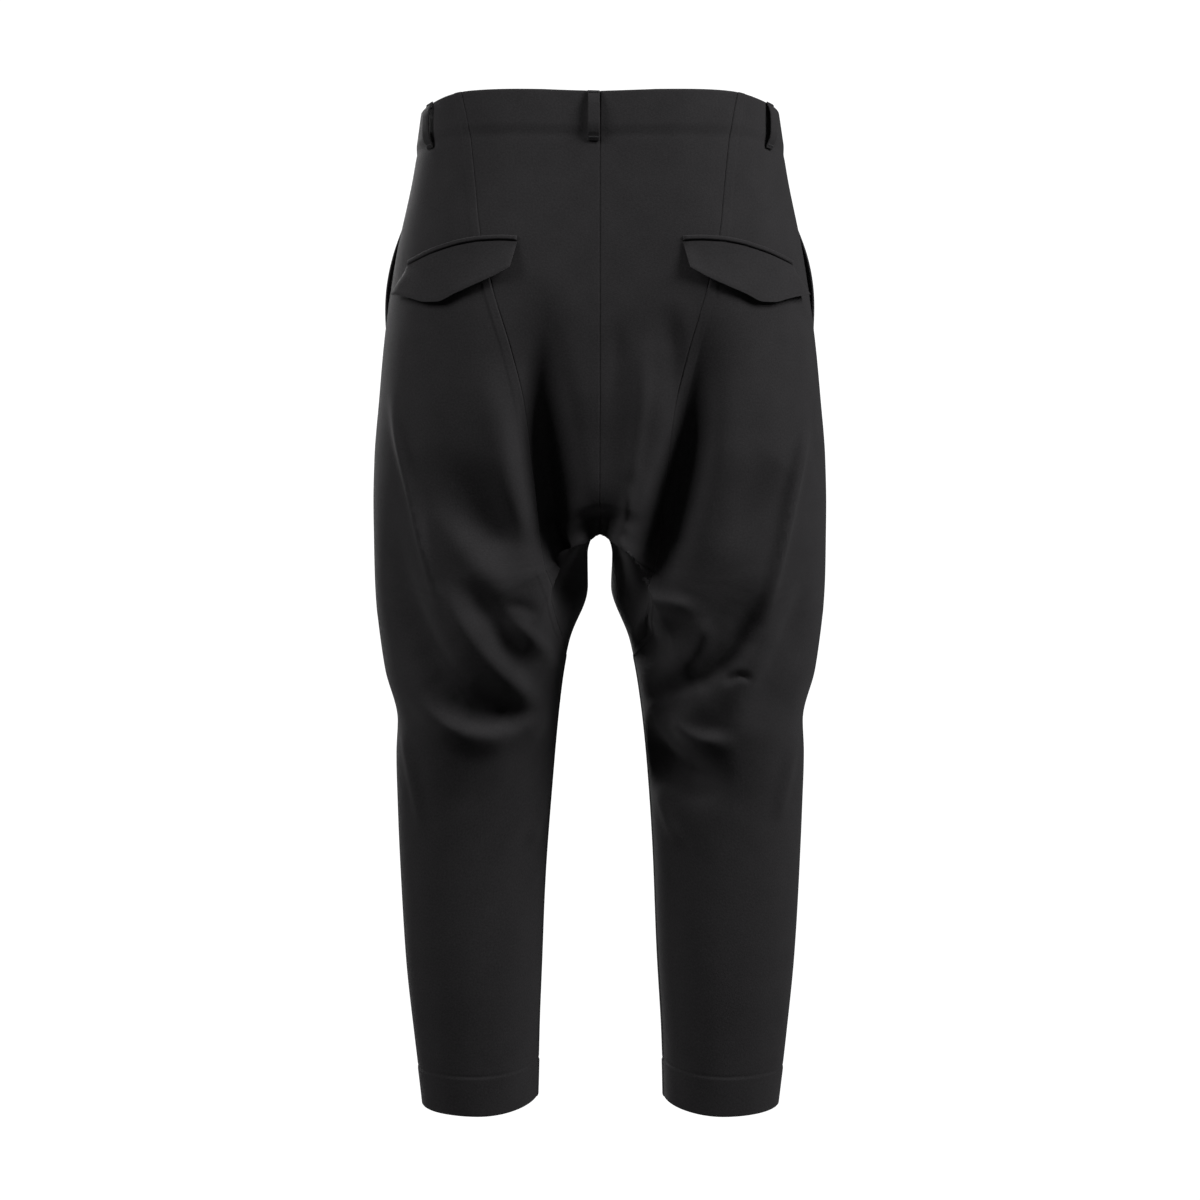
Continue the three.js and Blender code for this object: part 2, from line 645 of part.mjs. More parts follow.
const trousers = new THREE.Group();
trousers.name = "harem_pants";
function add(name, geometry, material = wool) {
  const mesh = new THREE.Mesh(geometry, material);
  mesh.name = name;
  trousers.add(mesh);
  return mesh;
}

for (const [side, hand] of [[-1, "left"], [1, "right"]]) {
  add(`back_centre_${hand}`, backCentre(side));
  add(`back_side_${hand}`, backSide(side));
  add(`front_${hand}`, front(side));
  add(`pocket_facing_${hand}`, pocketFacing(side));
  add(`back_welt_${hand}`, welt(side));
  add(`back_flap_${hand}`, flap(side));
}
for (const { name, side, face, x } of LOOPS) add(name, beltLoop(side, face, x));
add("fly_shield", flyShield());

const button = add("waist_button", buttonGeometry(), horn);
const buttonStation = pastFront(BUTTON.level, BUTTON.x);
const buttonNormal = normalOf(cloth, -1, BUTTON.level, buttonStation);
button.position.copy(cloth(-1, BUTTON.level, buttonStation));
button.position.addScaledVector(buttonNormal, CLOTH + 2 * LAP_GAP);
button.quaternion.setFromUnitVectors(new THREE.Vector3(0, 0, 1), buttonNormal);

export default trousers;
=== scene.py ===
"""Cropped trousers with a low crotch in near-black wool twill, seen from behind.

Metres, +Z up, +Y the wearer's forward and +X the wearer's right. The cut's own tables are in
millimetres. The pieces follow in the order in which they are sewn.
"""

import math

import bmesh
import bpy
import numpy as np
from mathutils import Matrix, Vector


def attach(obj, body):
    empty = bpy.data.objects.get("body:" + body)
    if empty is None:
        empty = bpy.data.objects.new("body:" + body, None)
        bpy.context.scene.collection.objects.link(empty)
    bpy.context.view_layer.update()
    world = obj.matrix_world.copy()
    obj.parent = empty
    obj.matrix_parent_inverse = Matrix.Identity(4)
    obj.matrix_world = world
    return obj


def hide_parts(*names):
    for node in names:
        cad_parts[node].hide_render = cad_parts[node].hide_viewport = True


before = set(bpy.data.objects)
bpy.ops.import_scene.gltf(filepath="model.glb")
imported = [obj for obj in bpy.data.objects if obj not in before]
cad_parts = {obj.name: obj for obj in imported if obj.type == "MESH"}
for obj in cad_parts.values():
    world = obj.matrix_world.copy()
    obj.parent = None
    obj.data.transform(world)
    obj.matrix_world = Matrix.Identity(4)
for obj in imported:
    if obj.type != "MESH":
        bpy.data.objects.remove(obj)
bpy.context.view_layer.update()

# Centre back: two panels of soft wool twill, sewn to each other down the middle of the seat and
# pressed open. They taper to a tip at the inseam. The waist edge is faced inside, and the seat
# falls in long soft folds from the hips to the low crotch.
MM = 0.001
LAYER = 1.2  # one layer of the cloth
SIDE, INNER_FRONT = 2, 4  # stations round half a section, from the inner back edge
CROTCH_LEVEL, SEAM_END_LEVEL, HEM_LEVEL = -455, -572, -903.5
FACING_DEPTH, HEM_DEPTH = 38, 34
SECTION_COLUMNS = (
    "level outer_x side_y back_x back_y front_x front_y inner_x "
    "back_inner_y back_inner_z front_inner_y front_inner_z "
    "front_roundness back_roundness back_squareness"
).split()
SECTIONS = np.array([
    [0, 163, -4, 50, -112, 50, 104, 0, -111, 0, 104, 0, 0, 0, 0],
    [-60, 172, -5, 65, -121, 60, 111, 0, -119, -60, 110, -60, 0, 0, 0],
    [-133, 186.5, -6, 80, -133, 70, 118, 0, -130, -133, 116, -133, 0, 0, 0],
    [-207, 197, -6, 88, -141, 80, 122, 0, -137, -207, 118, -206, 0, 0, 0],
    [-262, 202, -6, 92, -143, 88, 124, 0, -137, -261, 116, -258, 0, 0, 0],
    [-317, 206.5, -6, 98, -142, 95, 124, 0, -133, -308, 106, -302, 0, 0, 0],
    [-357, 207.5, -6, 102, -139, 100, 122, 0, -132, -341, 91, -331, 0.02, 0.1, 0.2],
    [-390, 207, -6, 105, -136, 104, 119, 0, -127, -361, 65, -356, 0.08, 0.3, 0.5],
    [-425, 206, -7, 108, -133, 107, 116, 0, -84, -373, 28, -378, 0.25, 0.8, 0.76],
    [CROTCH_LEVEL, 204, -8, 110, -130, 109, 113, 0, -14, -386, -14, -386, 0.6, 1, 0.8],
    [-462, 203.2, -8, 110, -129, 109, 112, 7.5, -11.5, -389.5, -11.5, -389.5, 0.78, 1, 0.8],
    [-480, 201, -8, 110, -127, 110, 109, 11.3, -9, -404, -9, -404, 0.95, 1, 0.72],
    [-510, 196.5, -9, 111, -122, 111, 102, 11.2, -8, -432, -8, -432, 1, 1, 0.5],
    [-556, 185.4, -10.5, 112, -110, 112, 90, 28, -8, -484, -8, -484, 1, 1, 0.25],
    [-585, 186.5, -12, 113, -100, 112, 82, 35, -9, -522, -9, -522, 1, 1, 0.15],
    [-635, 185, -14, 114, -90, 112, 70, 42.5, -11, -590, -11, -590, 1, 1, 0.05],
    [-700, 182, -17, 115, -87, 112, 58, 48.5, -15, -675, -15, -675, 1, 1, 0],
    [-770, 177.5, -19, 114, -87, 112, 50, 52.3, -19, -760, -19, -760, 1, 1, 0],
    [-840, 170, -20, 112, -83, 111, 44, 56, -20, -838, -20, -838, 1, 1, 0],
    [HEM_LEVEL, 162.5, -20, 110, -79, 109, 40, 57.5, -20, HEM_LEVEL, -20, HEM_LEVEL, 1, 1, 0],
])
LIFT_REACH = 1.25  # stations over which a section rises to its inner edge
EDGE_REACH = 120  # height over which a section levels out from its edge's rise and fall
EDGE_RISES = np.array([  # station, rise of the waist edge, rise of the hem
    [0, 5, 6], [1, 6.5, -6], [1.4, 8, -5], [1.75, 2, -3],
    [2, -1, -1], [3, -6, 5], [4, -8, 6],
])
BACK_SEAM = np.array([  # level, x of the seam between the centre back and the side back
    [0, 123], [-32, 116.5], [-74, 111], [-121, 106], [-167, 96],
    [-231, 77], [-270, 67], [-322, 59.5], [-382, 54], [CROTCH_LEVEL, 48.5],
    [-498, 39], [-546, 33], [SEAM_END_LEVEL, 30],
])


def curve_of(at, value):
    """A smooth curve through the points of a table, with no overshoot."""
    order = np.argsort(at)
    xs, ys = at[order], value[order]
    steps = np.diff(xs)
    slopes = np.diff(ys) / steps
    before, after = slopes[:-1], slopes[1:]
    alike = before * after > 0
    middle = np.where(alike, 2 * before * after / np.where(alike, before + after, 1), 0)
    tangents = np.concatenate((slopes[:1], middle, slopes[-1:]))

    def curve(x):
        i = np.clip(np.searchsorted(xs, x) - 1, 0, len(steps) - 1)
        u = np.clip((x - xs[i]) / steps[i], 0, 1)
        return (
            (2 * u**3 - 3 * u**2 + 1) * ys[i]
            + (u**3 - 2 * u**2 + u) * steps[i] * tangents[i]
            + (3 * u**2 - 2 * u**3) * ys[i + 1]
            + (u**3 - u**2) * steps[i] * tangents[i + 1]
        )

    return curve


section_curves = {
    name: curve_of(SECTIONS[:, 0], column) for name, column in zip(SECTION_COLUMNS, SECTIONS.T)
}
waist_rise = curve_of(EDGE_RISES[:, 0], EDGE_RISES[:, 1])
hem_rise = curve_of(EDGE_RISES[:, 0], EDGE_RISES[:, 2])
back_seam_x = curve_of(BACK_SEAM[:, 0], BACK_SEAM[:, 1])


def ramp(start, end, x):
    """0 before start and 1 after end, with a soft turn at both."""
    u = np.clip((x - start) / (end - start), 0, 1)
    return u * u * (3 - 2 * u)


def swell(x, width):
    """1 at 0, dying away on both sides over the width."""
    return np.exp(-((x / width) ** 2))


def quarter_round(x):
    """Rises from 0 to 1 as a quarter of a circle does."""
    return np.sqrt(1 - (1 - np.clip(x, 0, 1)) ** 2)


def mix(a, b, share):
    return a + (b - a) * share


def form_point(level, station):
    """Points of the right half's form, before any fold."""
    row = {name: curve(level) for name, curve in section_curves.items()}
    back = station <= SIDE
    a = np.where(back, station, INNER_FRONT - station)
    bulge_x, bulge_y, inner_y, inner_z, roundness = (
        np.where(back, row[f"back_{part}"], row[f"front_{part}"])
        for part in ("x", "y", "inner_y", "inner_z", "roundness")
    )
    turn = np.clip(a, 0, 1) * math.pi / 2
    width = bulge_x - row["inner_x"]
    round_x = bulge_x - width * np.cos(turn)
    squareness = np.where(back, row["back_squareness"], 0)
    past_corner = (round_x - row["inner_x"]) / (width * (1 - squareness))
    round_y = inner_y + (bulge_y - inner_y) * quarter_round(past_corner)
    near_x = mix(mix(row["inner_x"], bulge_x, a), round_x, roundness)
    near_y = mix(mix(inner_y, bulge_y, ramp(0, 1, a)), round_y, roundness)
    turn = np.clip(a - 1, 0, 1) * math.pi / 2
    far_x = bulge_x + (row["outer_x"] - bulge_x) * np.sin(turn)
    far_y = row["side_y"] + (bulge_y - row["side_y"]) * np.cos(turn)
    z = (
        level
        + (inner_z - level) * (1 - ramp(0, LIFT_REACH, a))
        + ramp(-EDGE_REACH, 0, level) * waist_rise(station)
        + ramp(HEM_LEVEL + EDGE_REACH, HEM_LEVEL, level) * hem_rise(station)
    )
    return np.stack((np.where(a <= 1, near_x, far_x), np.where(a <= 1, near_y, far_y), z), -1)


def form(side, level, station):
    """The same on either side, -1 left and 1 right. A station past an inner edge goes on to the
    other half above the crotch, and round the same leg below it."""
    level, station = np.broadcast_arrays(level, station)
    past = (station < 0) | (station > INNER_FRONT)
    mirrored = np.where(station < 0, -station, 2 * INNER_FRONT - station)
    across_centre = past & (level >= CROTCH_LEVEL)
    inside = np.where(past, np.where(across_centre, mirrored, INNER_FRONT - mirrored), station)
    points = form_point(level, inside)
    points[..., 0] *= np.where(across_centre, -side, side)
    return points


def unit(vectors):
    length = np.linalg.norm(vectors, axis=-1, keepdims=True)
    return vectors / np.maximum(length, 1e-9)


STATION_STEP, LEVEL_STEP = 0.02, 1.5  # either way, to measure how a surface runs


def along_form(side, level, station):
    """Which way a section of the form runs there."""
    before = form(side, level, station - STATION_STEP)
    return form(side, level, station + STATION_STEP) - before


def form_normal(side, level, station):
    """Outward normals of the form."""
    upper = form(side, np.minimum(level + LEVEL_STEP, 0), station)
    up = upper - form(side, np.maximum(level - LEVEL_STEP, HEM_LEVEL), station)
    return unit(np.cross(along_form(side, level, station), up)) * side


def section_facing(side, level, station):
    """Which way a section of the form faces there, as a level unit vector."""
    x, y, _ = np.moveaxis(along_form(side, level, station), -1, 0)
    return unit(np.stack((y, -x, np.zeros(x.shape)), -1)) * side


# Folds run along curves through three points of the view named. Widths are those of the
# slopes to the left and right of the curve in that view, and a negative height is a trough. A
# fade is the share of the fold over which that end dies away, given where it isn't the usual one.
FOLD_COLUMNS = "a1 z1 a2 z2 a3 z3 left right height fade_in fade_out".split()
USUAL_FADE = 0.35
BACK_FOLDS = [
    # back of the seat: its tongue between the two deep hollows, down to the crotch
    (-54, -150, -45, -326, -14, -490, 26, 19, -47, 0.6, 0.36),
    (-24, -346, -22, -372, -17, -400, 6, 7, 3, 0.4, 0.4),
    (26, -340, 24, -368, 18, -400, 6, 6, 4, 0.4, 0.4),
    (42, -208, 35, -290, 22, -370, 10, 7, 6, 0.35, 0.3),
    (14, -196, 16, -246, 10, -300, 9, 8, -3, 0.4, 0.4),
    (60, -182, 64, -236, 56, -300, 13, 10, -7, 0.4, 0.4),
    (100, -160, 67, -326, 16, -494, 15, 27, -46, 0.6, 0.36),
    # left leg, back: the ridge beside the hollow, and slack that runs from the hip in to the knee
    (-98, -226, -74, -345, -36, -470, 16, 10, 8, 0.35, 0.3),
    (-162, -306, -112, -358, -58, -432, 28, 23, -18, 0.7, 0.3),
    (-150, -360, -110, -411, -74, -450, 15, 13, 5.5, 0.4, 0.4),
    (-122, -424, -92, -468, -44, -536, 12, 12, -7, 0.4, 0.3),
    (-90, -452, -68, -453, -52, -466, 5, 6, -2.5, 0.4, 0.4),
    (-88, -460, -60, -480, -30, -512, 8, 7, 5, 0.4, 0.3),
    (-138, -424, -111, -484, -40, -556, 12, 11, 8, 0.4, 0.2),
    (-190, -330, -153, -490, -52, -553, 20, 16, -22, 0.5, 0.15),
    (-178, -500, -122, -564, -40, -546, 13, 10, 10, 0.35, 0.15),
    # left leg, back: the sharp ridge down the outside, and the calf
    (-190, -246, -168, -346, -137, -478, 5.5, 5.5, 9),
    (-181, -556, -169, -604, -159, -660, 5, 5, 4, 0.3, 0.3),
    (-44, -612, -54, -640, -64, -672, 6, 6, 4, 0.3, 0.3),
    # right leg, back
    (116, -240, 96, -352, 60, -446, 16, 20, 7),
    (160, -322, 140, -352, 104, -410, 17, 19, -8, 0.6, 0.4),
    (34, -447, 60, -448, 90, -458, 6, 7, 6, 0.3, 0.5),
    (26, -478, 56, -482, 90, -470, 19, 16, -19, 0.15, 0.5),
    (94, -460, 88, -490, 66, -520, 8, 9, 4, 0.3, 0.3),
    (140, -424, 114, -490, 38, -542, 17, 13, -18, 0.45, 0.15),
    (190, -262, 168, -362, 139, -500, 5.5, 5.5, 9, 0.35, 0.4),
    (109, -523, 123, -513, 138, -521, 3.5, 3.5, -4, 0.3, 0.3),
    (190, -380, 168, -490, 108, -578, 15, 15, -12, 0.45, 0.35),
    (64, -544, 86, -570, 124, -568, 8, 8, 10, 0.3, 0.35),
    (24, -560, 60, -592, 122, -612, 19, 15, -25, 0.15, 0.35),
    (40, -544, 64, -536, 98, -524, 4, 5, 3.5, 0.2, 0.4),
    (180, -560, 168, -606, 158, -650, 6, 6, 4, 0.3, 0.3),
    (44, -606, 60, -640, 74, -672, 6, 6, 4, 0.3, 0.3),
]
FRONT_FOLDS = [
    # front: the same slack, less deep
    (-50, -240, -56, -330, -30, -448, 19, 19, -12),
    (-84, -262, -78, -360, -48, -462, 16, 16, 6),
    (-150, -300, -112, -352, -62, -420, 15, 15, -4),
    (-160, -452, -122, -516, -70, -540, 14, 14, -7),
    (-172, -500, -132, -560, -72, -574, 13, 13, 6),
    (-76, -590, -60, -602, -46, -622, 6, 6, 2.5),
    (46, -225, 58, -326, 32, -444, 20, 20, -12),
    (82, -280, 80, -366, 52, -452, 17, 17, 6),
    (154, -318, 118, -366, 66, -428, 15, 15, -4),
    (152, -470, 118, -528, 66, -552, 14, 14, -7),
    (168, -520, 128, -572, 74, -588, 12, 12, 6),
    (80, -606, 64, -616, 50, -634, 6, 6, 2.5),
]
LEFT_FOLDS = [  # long soft lines from the hip towards the knee
    (40, -250, 30, -370, -10, -480, 15, 15, 3),
    (10, -430, 30, -500, 62, -530, 14, 14, -4),
]
RIGHT_FOLDS = [  # the same
    (38, -270, 34, -380, 2, -500, 15, 15, 3),
    (6, -450, 30, -515, 60, -548, 14, 14, -4),
]
FOLD_STEPS = 10  # straight runs along each curve
FOLD_REACH = 2.6  # widths from the curve within which a fold is worked out
FACING_VIEWER = 0.1, 0.6  # how squarely cloth faces a view where its folds begin and are full
VIEWS = [  # folds, the way towards the viewer, the axis across the view, and which way it runs
    (BACK_FOLDS, (0, -1, 0), 0, 1),
    (FRONT_FOLDS, (0, 1, 0), 0, -1),
    (LEFT_FOLDS, (-1, 0, 0), 1, -1),
    (RIGHT_FOLDS, (1, 0, 0), 1, 1),
]


def folded(points, facings):
    """The points moved out or in by the folds, level and partly towards the folds' viewer."""
    moved = points.copy()
    u = np.linspace(0, 1, FOLD_STEPS + 1)[:, None]
    weights = np.hstack((2 * (u - 0.5) * (u - 1), 4 * u * (1 - u), 2 * u * (u - 0.5)))
    for row, towards, axis, handed in ((row, *view) for folds, *view in VIEWS for row in folds):
        fold = dict(zip(FOLD_COLUMNS, (*row, USUAL_FADE, USUAL_FADE)))
        facing = ramp(*FACING_VIEWER, facings @ np.array(towards))
        line = weights @ np.array([[fold[f"a{i}"], fold[f"z{i}"]] for i in (1, 2, 3)])
        flat = points[..., [axis, 2]]
        reach = FOLD_REACH * max(fold["left"], fold["right"])
        near = (
            (facing > 0)
            & (flat > line.min(0) - reach).all(-1)
            & (flat < line.max(0) + reach).all(-1)
        )
        if not near.any():
            continue
        at = flat[near][:, None]
        start, run = line[None, :-1], np.diff(line, axis=0)[None]
        share = np.clip(((at - start) * run).sum(-1) / (run**2).sum(-1), 0, 1)
        offset = at - start - share[..., None] * run
        distance = np.linalg.norm(offset, axis=-1)
        nearest = distance.argmin(1)
        pick = np.arange(len(nearest)), nearest
        along = (nearest + share[pick]) / FOLD_STEPS
        to_right = (offset[..., 0] * -run[..., 1] + offset[..., 1] * run[..., 0])[pick] * handed > 0
        width = np.where(to_right, fold["right"], fold["left"])
        ends = ramp(0, fold["fade_in"], along) * ramp(0, fold["fade_out"], 1 - along)
        height = fold["height"] * facing[near] * ends * swell(distance[pick], width)
        moved[near] += height[:, None] * unit(facings[near] + np.array(towards))
    return moved


BROAD_WAVES, SMALL_WAVES = 0.5, 0.35


def unevenness(points):
    """The slight waviness of worn cloth."""
    x, y, z = np.moveaxis(points, -1, 0)
    broad = np.sin(x / 31 + y / 23 + 1) * np.sin(z / 44 + y / 37)
    small = np.sin(x / 17 - z / 61) * np.sin(y / 19 + z / 83 + 2)
    return BROAD_WAVES * broad + SMALL_WAVES * small


# Rows of points down a panel: each run's end and its rows, closer where cloth turns or steps
ROW_RUNS = [
    (-0.3, 1), (-0.8, 1), (-1.6, 1), (-2.8, 1), (-28, 8), (-42, 12), (-120, 25),
    (-455, 134), (-640, 72), (HEM_LEVEL + 38, 66), (HEM_LEVEL + 30, 8), (HEM_LEVEL + 2.8, 8),
    (HEM_LEVEL + 1.6, 1), (HEM_LEVEL + 0.8, 1), (HEM_LEVEL + 0.3, 1), (HEM_LEVEL, 1),
]
levels = [0.0]
for run_end, rows in ROW_RUNS:
    levels.extend(np.linspace(levels[-1], run_end, rows + 1)[1:])
LEVELS = np.array(levels)
STATIONS = np.linspace(0, INNER_FRONT, 193)
EDGE_COLUMNS = np.array([0, 0.35, 0.8, 1.4, 2.2, 3.4, 5, 6.6, 7.6, 8.6, 9.6, 11])
SEAM_LAP, SEAM_DIP, SEAM_ROLL = 0.12, 0.9, 0.6  # panels meet in a small groove
SEAM_PRESS, SEAM_PRESS_WIDTH, EDGE_PRESS_WIDTH = 0.3, 1.2, 1.8  # a free edge is pressed by 1
SQUARE_TO_FORM = 4, 1  # distances from a seam over which the layers come to lie square to the form
ALLOWANCE = 8.5
FACING_STEP, FACING_SHADE, HEM_STEP, PRICK_DEPTH = 1.2, 0.25, 0.5, 0.35
LAYER_BLEND = 0.8  # height over which a second layer of cloth begins, either way
FAR = 1e3  # a distance from any edge


def section_rows(level):
    """Distance round each level's section from its inner back edge, and x there, by station."""
    points = form_point(level[:, None], STATIONS[None])
    steps = np.linalg.norm(np.diff(points, axis=1), axis=2)
    return np.hstack((np.zeros((len(level), 1)), np.cumsum(steps, 1))), points[..., 0]


def girth_at(level, station):
    girth, _ = section_rows(level)
    stations = np.broadcast_to(station, level.shape)
    return np.array([np.interp(wanted, STATIONS, row) for wanted, row in zip(stations, girth)])


def station_at(level, girth):
    """Past the centre front the stations go on evenly."""
    rows, _ = section_rows(level)
    inside = np.array([np.interp(wanted, row, STATIONS) for wanted, row in zip(girth, rows)])
    front_x = section_curves["front_x"](level)[:, None]
    return inside + np.maximum(girth - rows[:, -1:], 0) / front_x


def station_at_x(level, x, face):
    """The stations with a given x, behind the side or before it."""
    _, rows = section_rows(level)
    half = STATIONS <= SIDE if face == "back" else STATIONS >= SIDE
    order = slice(None) if face == "back" else slice(None, None, -1)
    pairs = zip(np.broadcast_to(x, level.shape), rows)
    return np.array(
        [np.interp(wanted, row[half][order], STATIONS[half][order]) for wanted, row in pairs]
    )


def past_centre(level, distance):
    """The station at a distance past the centre front, or before it where that is negative."""
    return INNER_FRONT + distance / section_curves["front_x"](level)


def across(start, end, columns):
    """Girths across a panel on each level, closer together at its two edges."""
    width = (end - start)[:, None]
    edge = EDGE_COLUMNS[None] * np.minimum(1, width / (3 * EDGE_COLUMNS[-1]))
    share = np.linspace(0, 1, columns + 1)[None, 1:-1]
    middle = mix(edge[:, -1:], width - edge[:, -1:], share)
    return start[:, None] + np.hstack((edge, middle, width - edge[:, ::-1]))


def grid_normals(points, side):
    down, right = np.gradient(points, axis=0), np.gradient(points, axis=1)
    return unit(np.cross(right, -down)) * side


def turned_edge(distance, half):
    """How far the two faces of a folded edge draw in towards each other near the fold."""
    inside = np.clip(half - distance, 0, half)
    return half - np.sqrt(half**2 - inside**2)


def seam_relief(distance, allowance_step):
    """The cloth dips into a pressed seam, and stands up a little over its allowance."""
    groove = -SEAM_DIP * swell(distance, SEAM_ROLL)
    return groove + allowance_step * (1 - ramp(ALLOWANCE - 1, ALLOWANCE + 1, distance))


def level_relief(level):
    """The facing and the hem show as soft steps where their second layer of cloth ends."""
    facing = FACING_STEP * ramp(-FACING_DEPTH - 1, -FACING_DEPTH + 9, level)
    below_facing = -FACING_SHADE * swell(level + FACING_DEPTH + 2, 3)
    hem_top = HEM_LEVEL + HEM_DEPTH
    hem = HEM_STEP * ramp(hem_top + 1, hem_top - 1.5, level)
    prick_line = -PRICK_DEPTH * swell(level - hem_top - 0.5, 1.2)
    return facing + below_facing + hem + prick_line


def layers(level):
    """The cloth's thickness, doubled by the facing and the hem."""
    hem_top = HEM_LEVEL + HEM_DEPTH
    facing = ramp(-FACING_DEPTH - LAYER_BLEND, -FACING_DEPTH + LAYER_BLEND, level)
    hem = ramp(hem_top + LAYER_BLEND, hem_top - LAYER_BLEND, level)
    return LAYER * (1 + facing + hem)


def placed(name, data):
    """An object in the scene for a mesh, a light or a camera."""
    made = bpy.data.objects.new(name, data)
    bpy.context.scene.collection.objects.link(made)
    return made


def map_grain(mesh, grain):
    """The cloth's grain at each of the mesh's points, in millimetres, as its UV map."""
    corner = np.empty(len(mesh.loops), np.int32)
    mesh.loops.foreach_get("vertex_index", corner)
    mesh.uv_layers.new(name="grain").data.foreach_set("uv", (grain * MM)[corner].ravel())


def shell(name, outer, inner, grain, pressed, side):
    """A closed shell between two grids of points in millimetres, with the cloth's grain as its
    UV map and how hard it is pressed as an attribute."""
    rows, columns = outer.shape[:2]
    number = np.arange(rows * columns).reshape(rows, columns)
    a, b, c, d = number[:-1, :-1], number[1:, :-1], number[1:, 1:], number[:-1, 1:]
    outside = np.stack((a, b, c, d), -1).reshape(-1, 4)
    inside = outside[:, ::-1] + rows * columns
    loop = np.concatenate((number[:, 0], number[-1, 1:], number[-2::-1, -1], number[0, -2:0:-1]))
    after = np.roll(loop, -1)
    rim = np.stack((loop, loop + rows * columns, after + rows * columns, after), -1)
    faces = np.concatenate((outside, inside, rim))
    if side < 0:
        faces = faces[:, ::-1]
    mesh = bpy.data.meshes.new(name)
    points = np.concatenate((outer.reshape(-1, 3), inner.reshape(-1, 3))) * MM
    mesh.from_pydata(points.tolist(), [], faces.tolist())
    map_grain(mesh, np.tile(grain.reshape(-1, 2), (2, 1)))
    attribute = mesh.attributes.new("pressed", "FLOAT", "POINT")
    attribute.data.foreach_set("value", np.tile(pressed.ravel(), 2))
    mesh.shade_smooth()
    mesh.set_sharp_from_angle(angle=math.radians(50))
    return placed(name, mesh)


def cloth_surface(side, level, station, relief):
    """Points of the folded cloth, raised by its relief, and the form's normals there."""
    points, normals = form(side, level, station), form_normal(side, level, station)
    height = unevenness(points) + level_relief(level) + relief
    facings = section_facing(side, level, station)
    return folded(points, facings) + normals * height[..., None], normals


def panel(name, side, level, start, end, columns, seams, free_edges=(False, False), out=None):
    """A cut panel from one girth to another on each level. seams gives for each of its two edges
    how far it stands up over the allowance, and free_edges on which levels the edge is turned
    and free. out lifts the panel."""
    girth = across(start, end, columns)
    station = station_at(level, girth)
    rows = level[:, None]
    distances = [girth - start[:, None], end[:, None] - girth]
    sewn, free = np.full(girth.shape, FAR), np.full(girth.shape, FAR)
    relief = np.zeros(girth.shape)
    for distance, step, turned in zip(distances, seams, free_edges):
        is_free = np.broadcast_to(turned, rows.shape)
        free = np.minimum(free, np.where(is_free, distance, FAR))
        sewn = np.minimum(sewn, np.where(is_free, FAR, distance))
        relief = relief + np.where(is_free, 0, seam_relief(distance, step))
    if out is not None:
        relief = relief + out(rows, girth)
    points, normals = cloth_surface(side, rows, station, relief)
    at_seam = ramp(*SQUARE_TO_FORM, sewn)[..., None]
    normals = unit(mix(grid_normals(points, side), normals, at_seam))
    turned_in = LAYER * (1 - ramp(ALLOWANCE, ALLOWANCE + 1.5, np.minimum(sewn, free)))
    thickness = np.maximum(layers(rows), LAYER + turned_in)
    edge = np.minimum(free, np.minimum(-rows, rows - HEM_LEVEL))
    draw = turned_edge(edge, thickness / 2)
    outer = points - normals * draw[..., None]
    inner = points - normals * (thickness - draw)[..., None]
    grain = np.stack((girth, np.broadcast_to(rows, girth.shape)), -1)
    pressed = np.maximum(SEAM_PRESS * swell(sewn, SEAM_PRESS_WIDTH), swell(edge, EDGE_PRESS_WIDTH))
    return shell(name, outer, inner, grain, pressed, side)


def node(tree, kind, settings=(), **inputs):
    """A shader node with its settings and inputs, each a value or another node's output."""
    made = tree.nodes.new(f"ShaderNode{kind}")
    for name, value in dict(settings).items():
        setattr(made, name, value)
    for name, value in inputs.items():
        key = int(name[1:]) if name[1:].isdigit() else name.replace("_", " ")
        if isinstance(value, bpy.types.NodeSocket):
            tree.links.new(value, made.inputs[key])
        else:
            made.inputs[key].default_value = value
    return made


def math_node(tree, operation, *values):
    inputs = {f"i{place}": value for place, value in enumerate(values)}
    return node(tree, "Math", {"operation": operation}, **inputs).outputs[0]


def noise(tree, place, size, detail):
    scale = math_node(tree, "DIVIDE", 1.0, size)
    return node(tree, "TexNoise", Vector=place, Scale=scale, Detail=detail).outputs["Fac"]


def group_outputs(tree, group, **inputs):
    return node(tree, "Group", {"node_tree": group}, **inputs).outputs


def colour_between(tree, dark, light, share):
    colours = {"i6": (*dark, 1), "i7": (*light, 1)}
    return node(tree, "Mix", {"data_type": "RGBA"}, i0=share, **colours).outputs[2]


def new_material(name):
    """A material, its node tree and its shader."""
    material = bpy.data.materials.new(name)
    material.use_nodes = True
    return material, material.node_tree, material.node_tree.nodes["Principled BSDF"]


def shader_group(name, sockets_in, sockets_out):
    """An empty node group, and the sockets inside it to read from and to fill."""
    group = bpy.data.node_groups.new(name, "ShaderNodeTree")
    for socket, kind in sockets_in:
        group.interface.new_socket(name=socket, in_out="INPUT", socket_type=f"NodeSocket{kind}")
    for socket in sockets_out:
        group.interface.new_socket(name=socket, in_out="OUTPUT", socket_type="NodeSocketFloat")
    into, out_of = group.nodes.new("NodeGroupInput"), group.nodes.new("NodeGroupOutput")
    return group, into.outputs, out_of.inputs


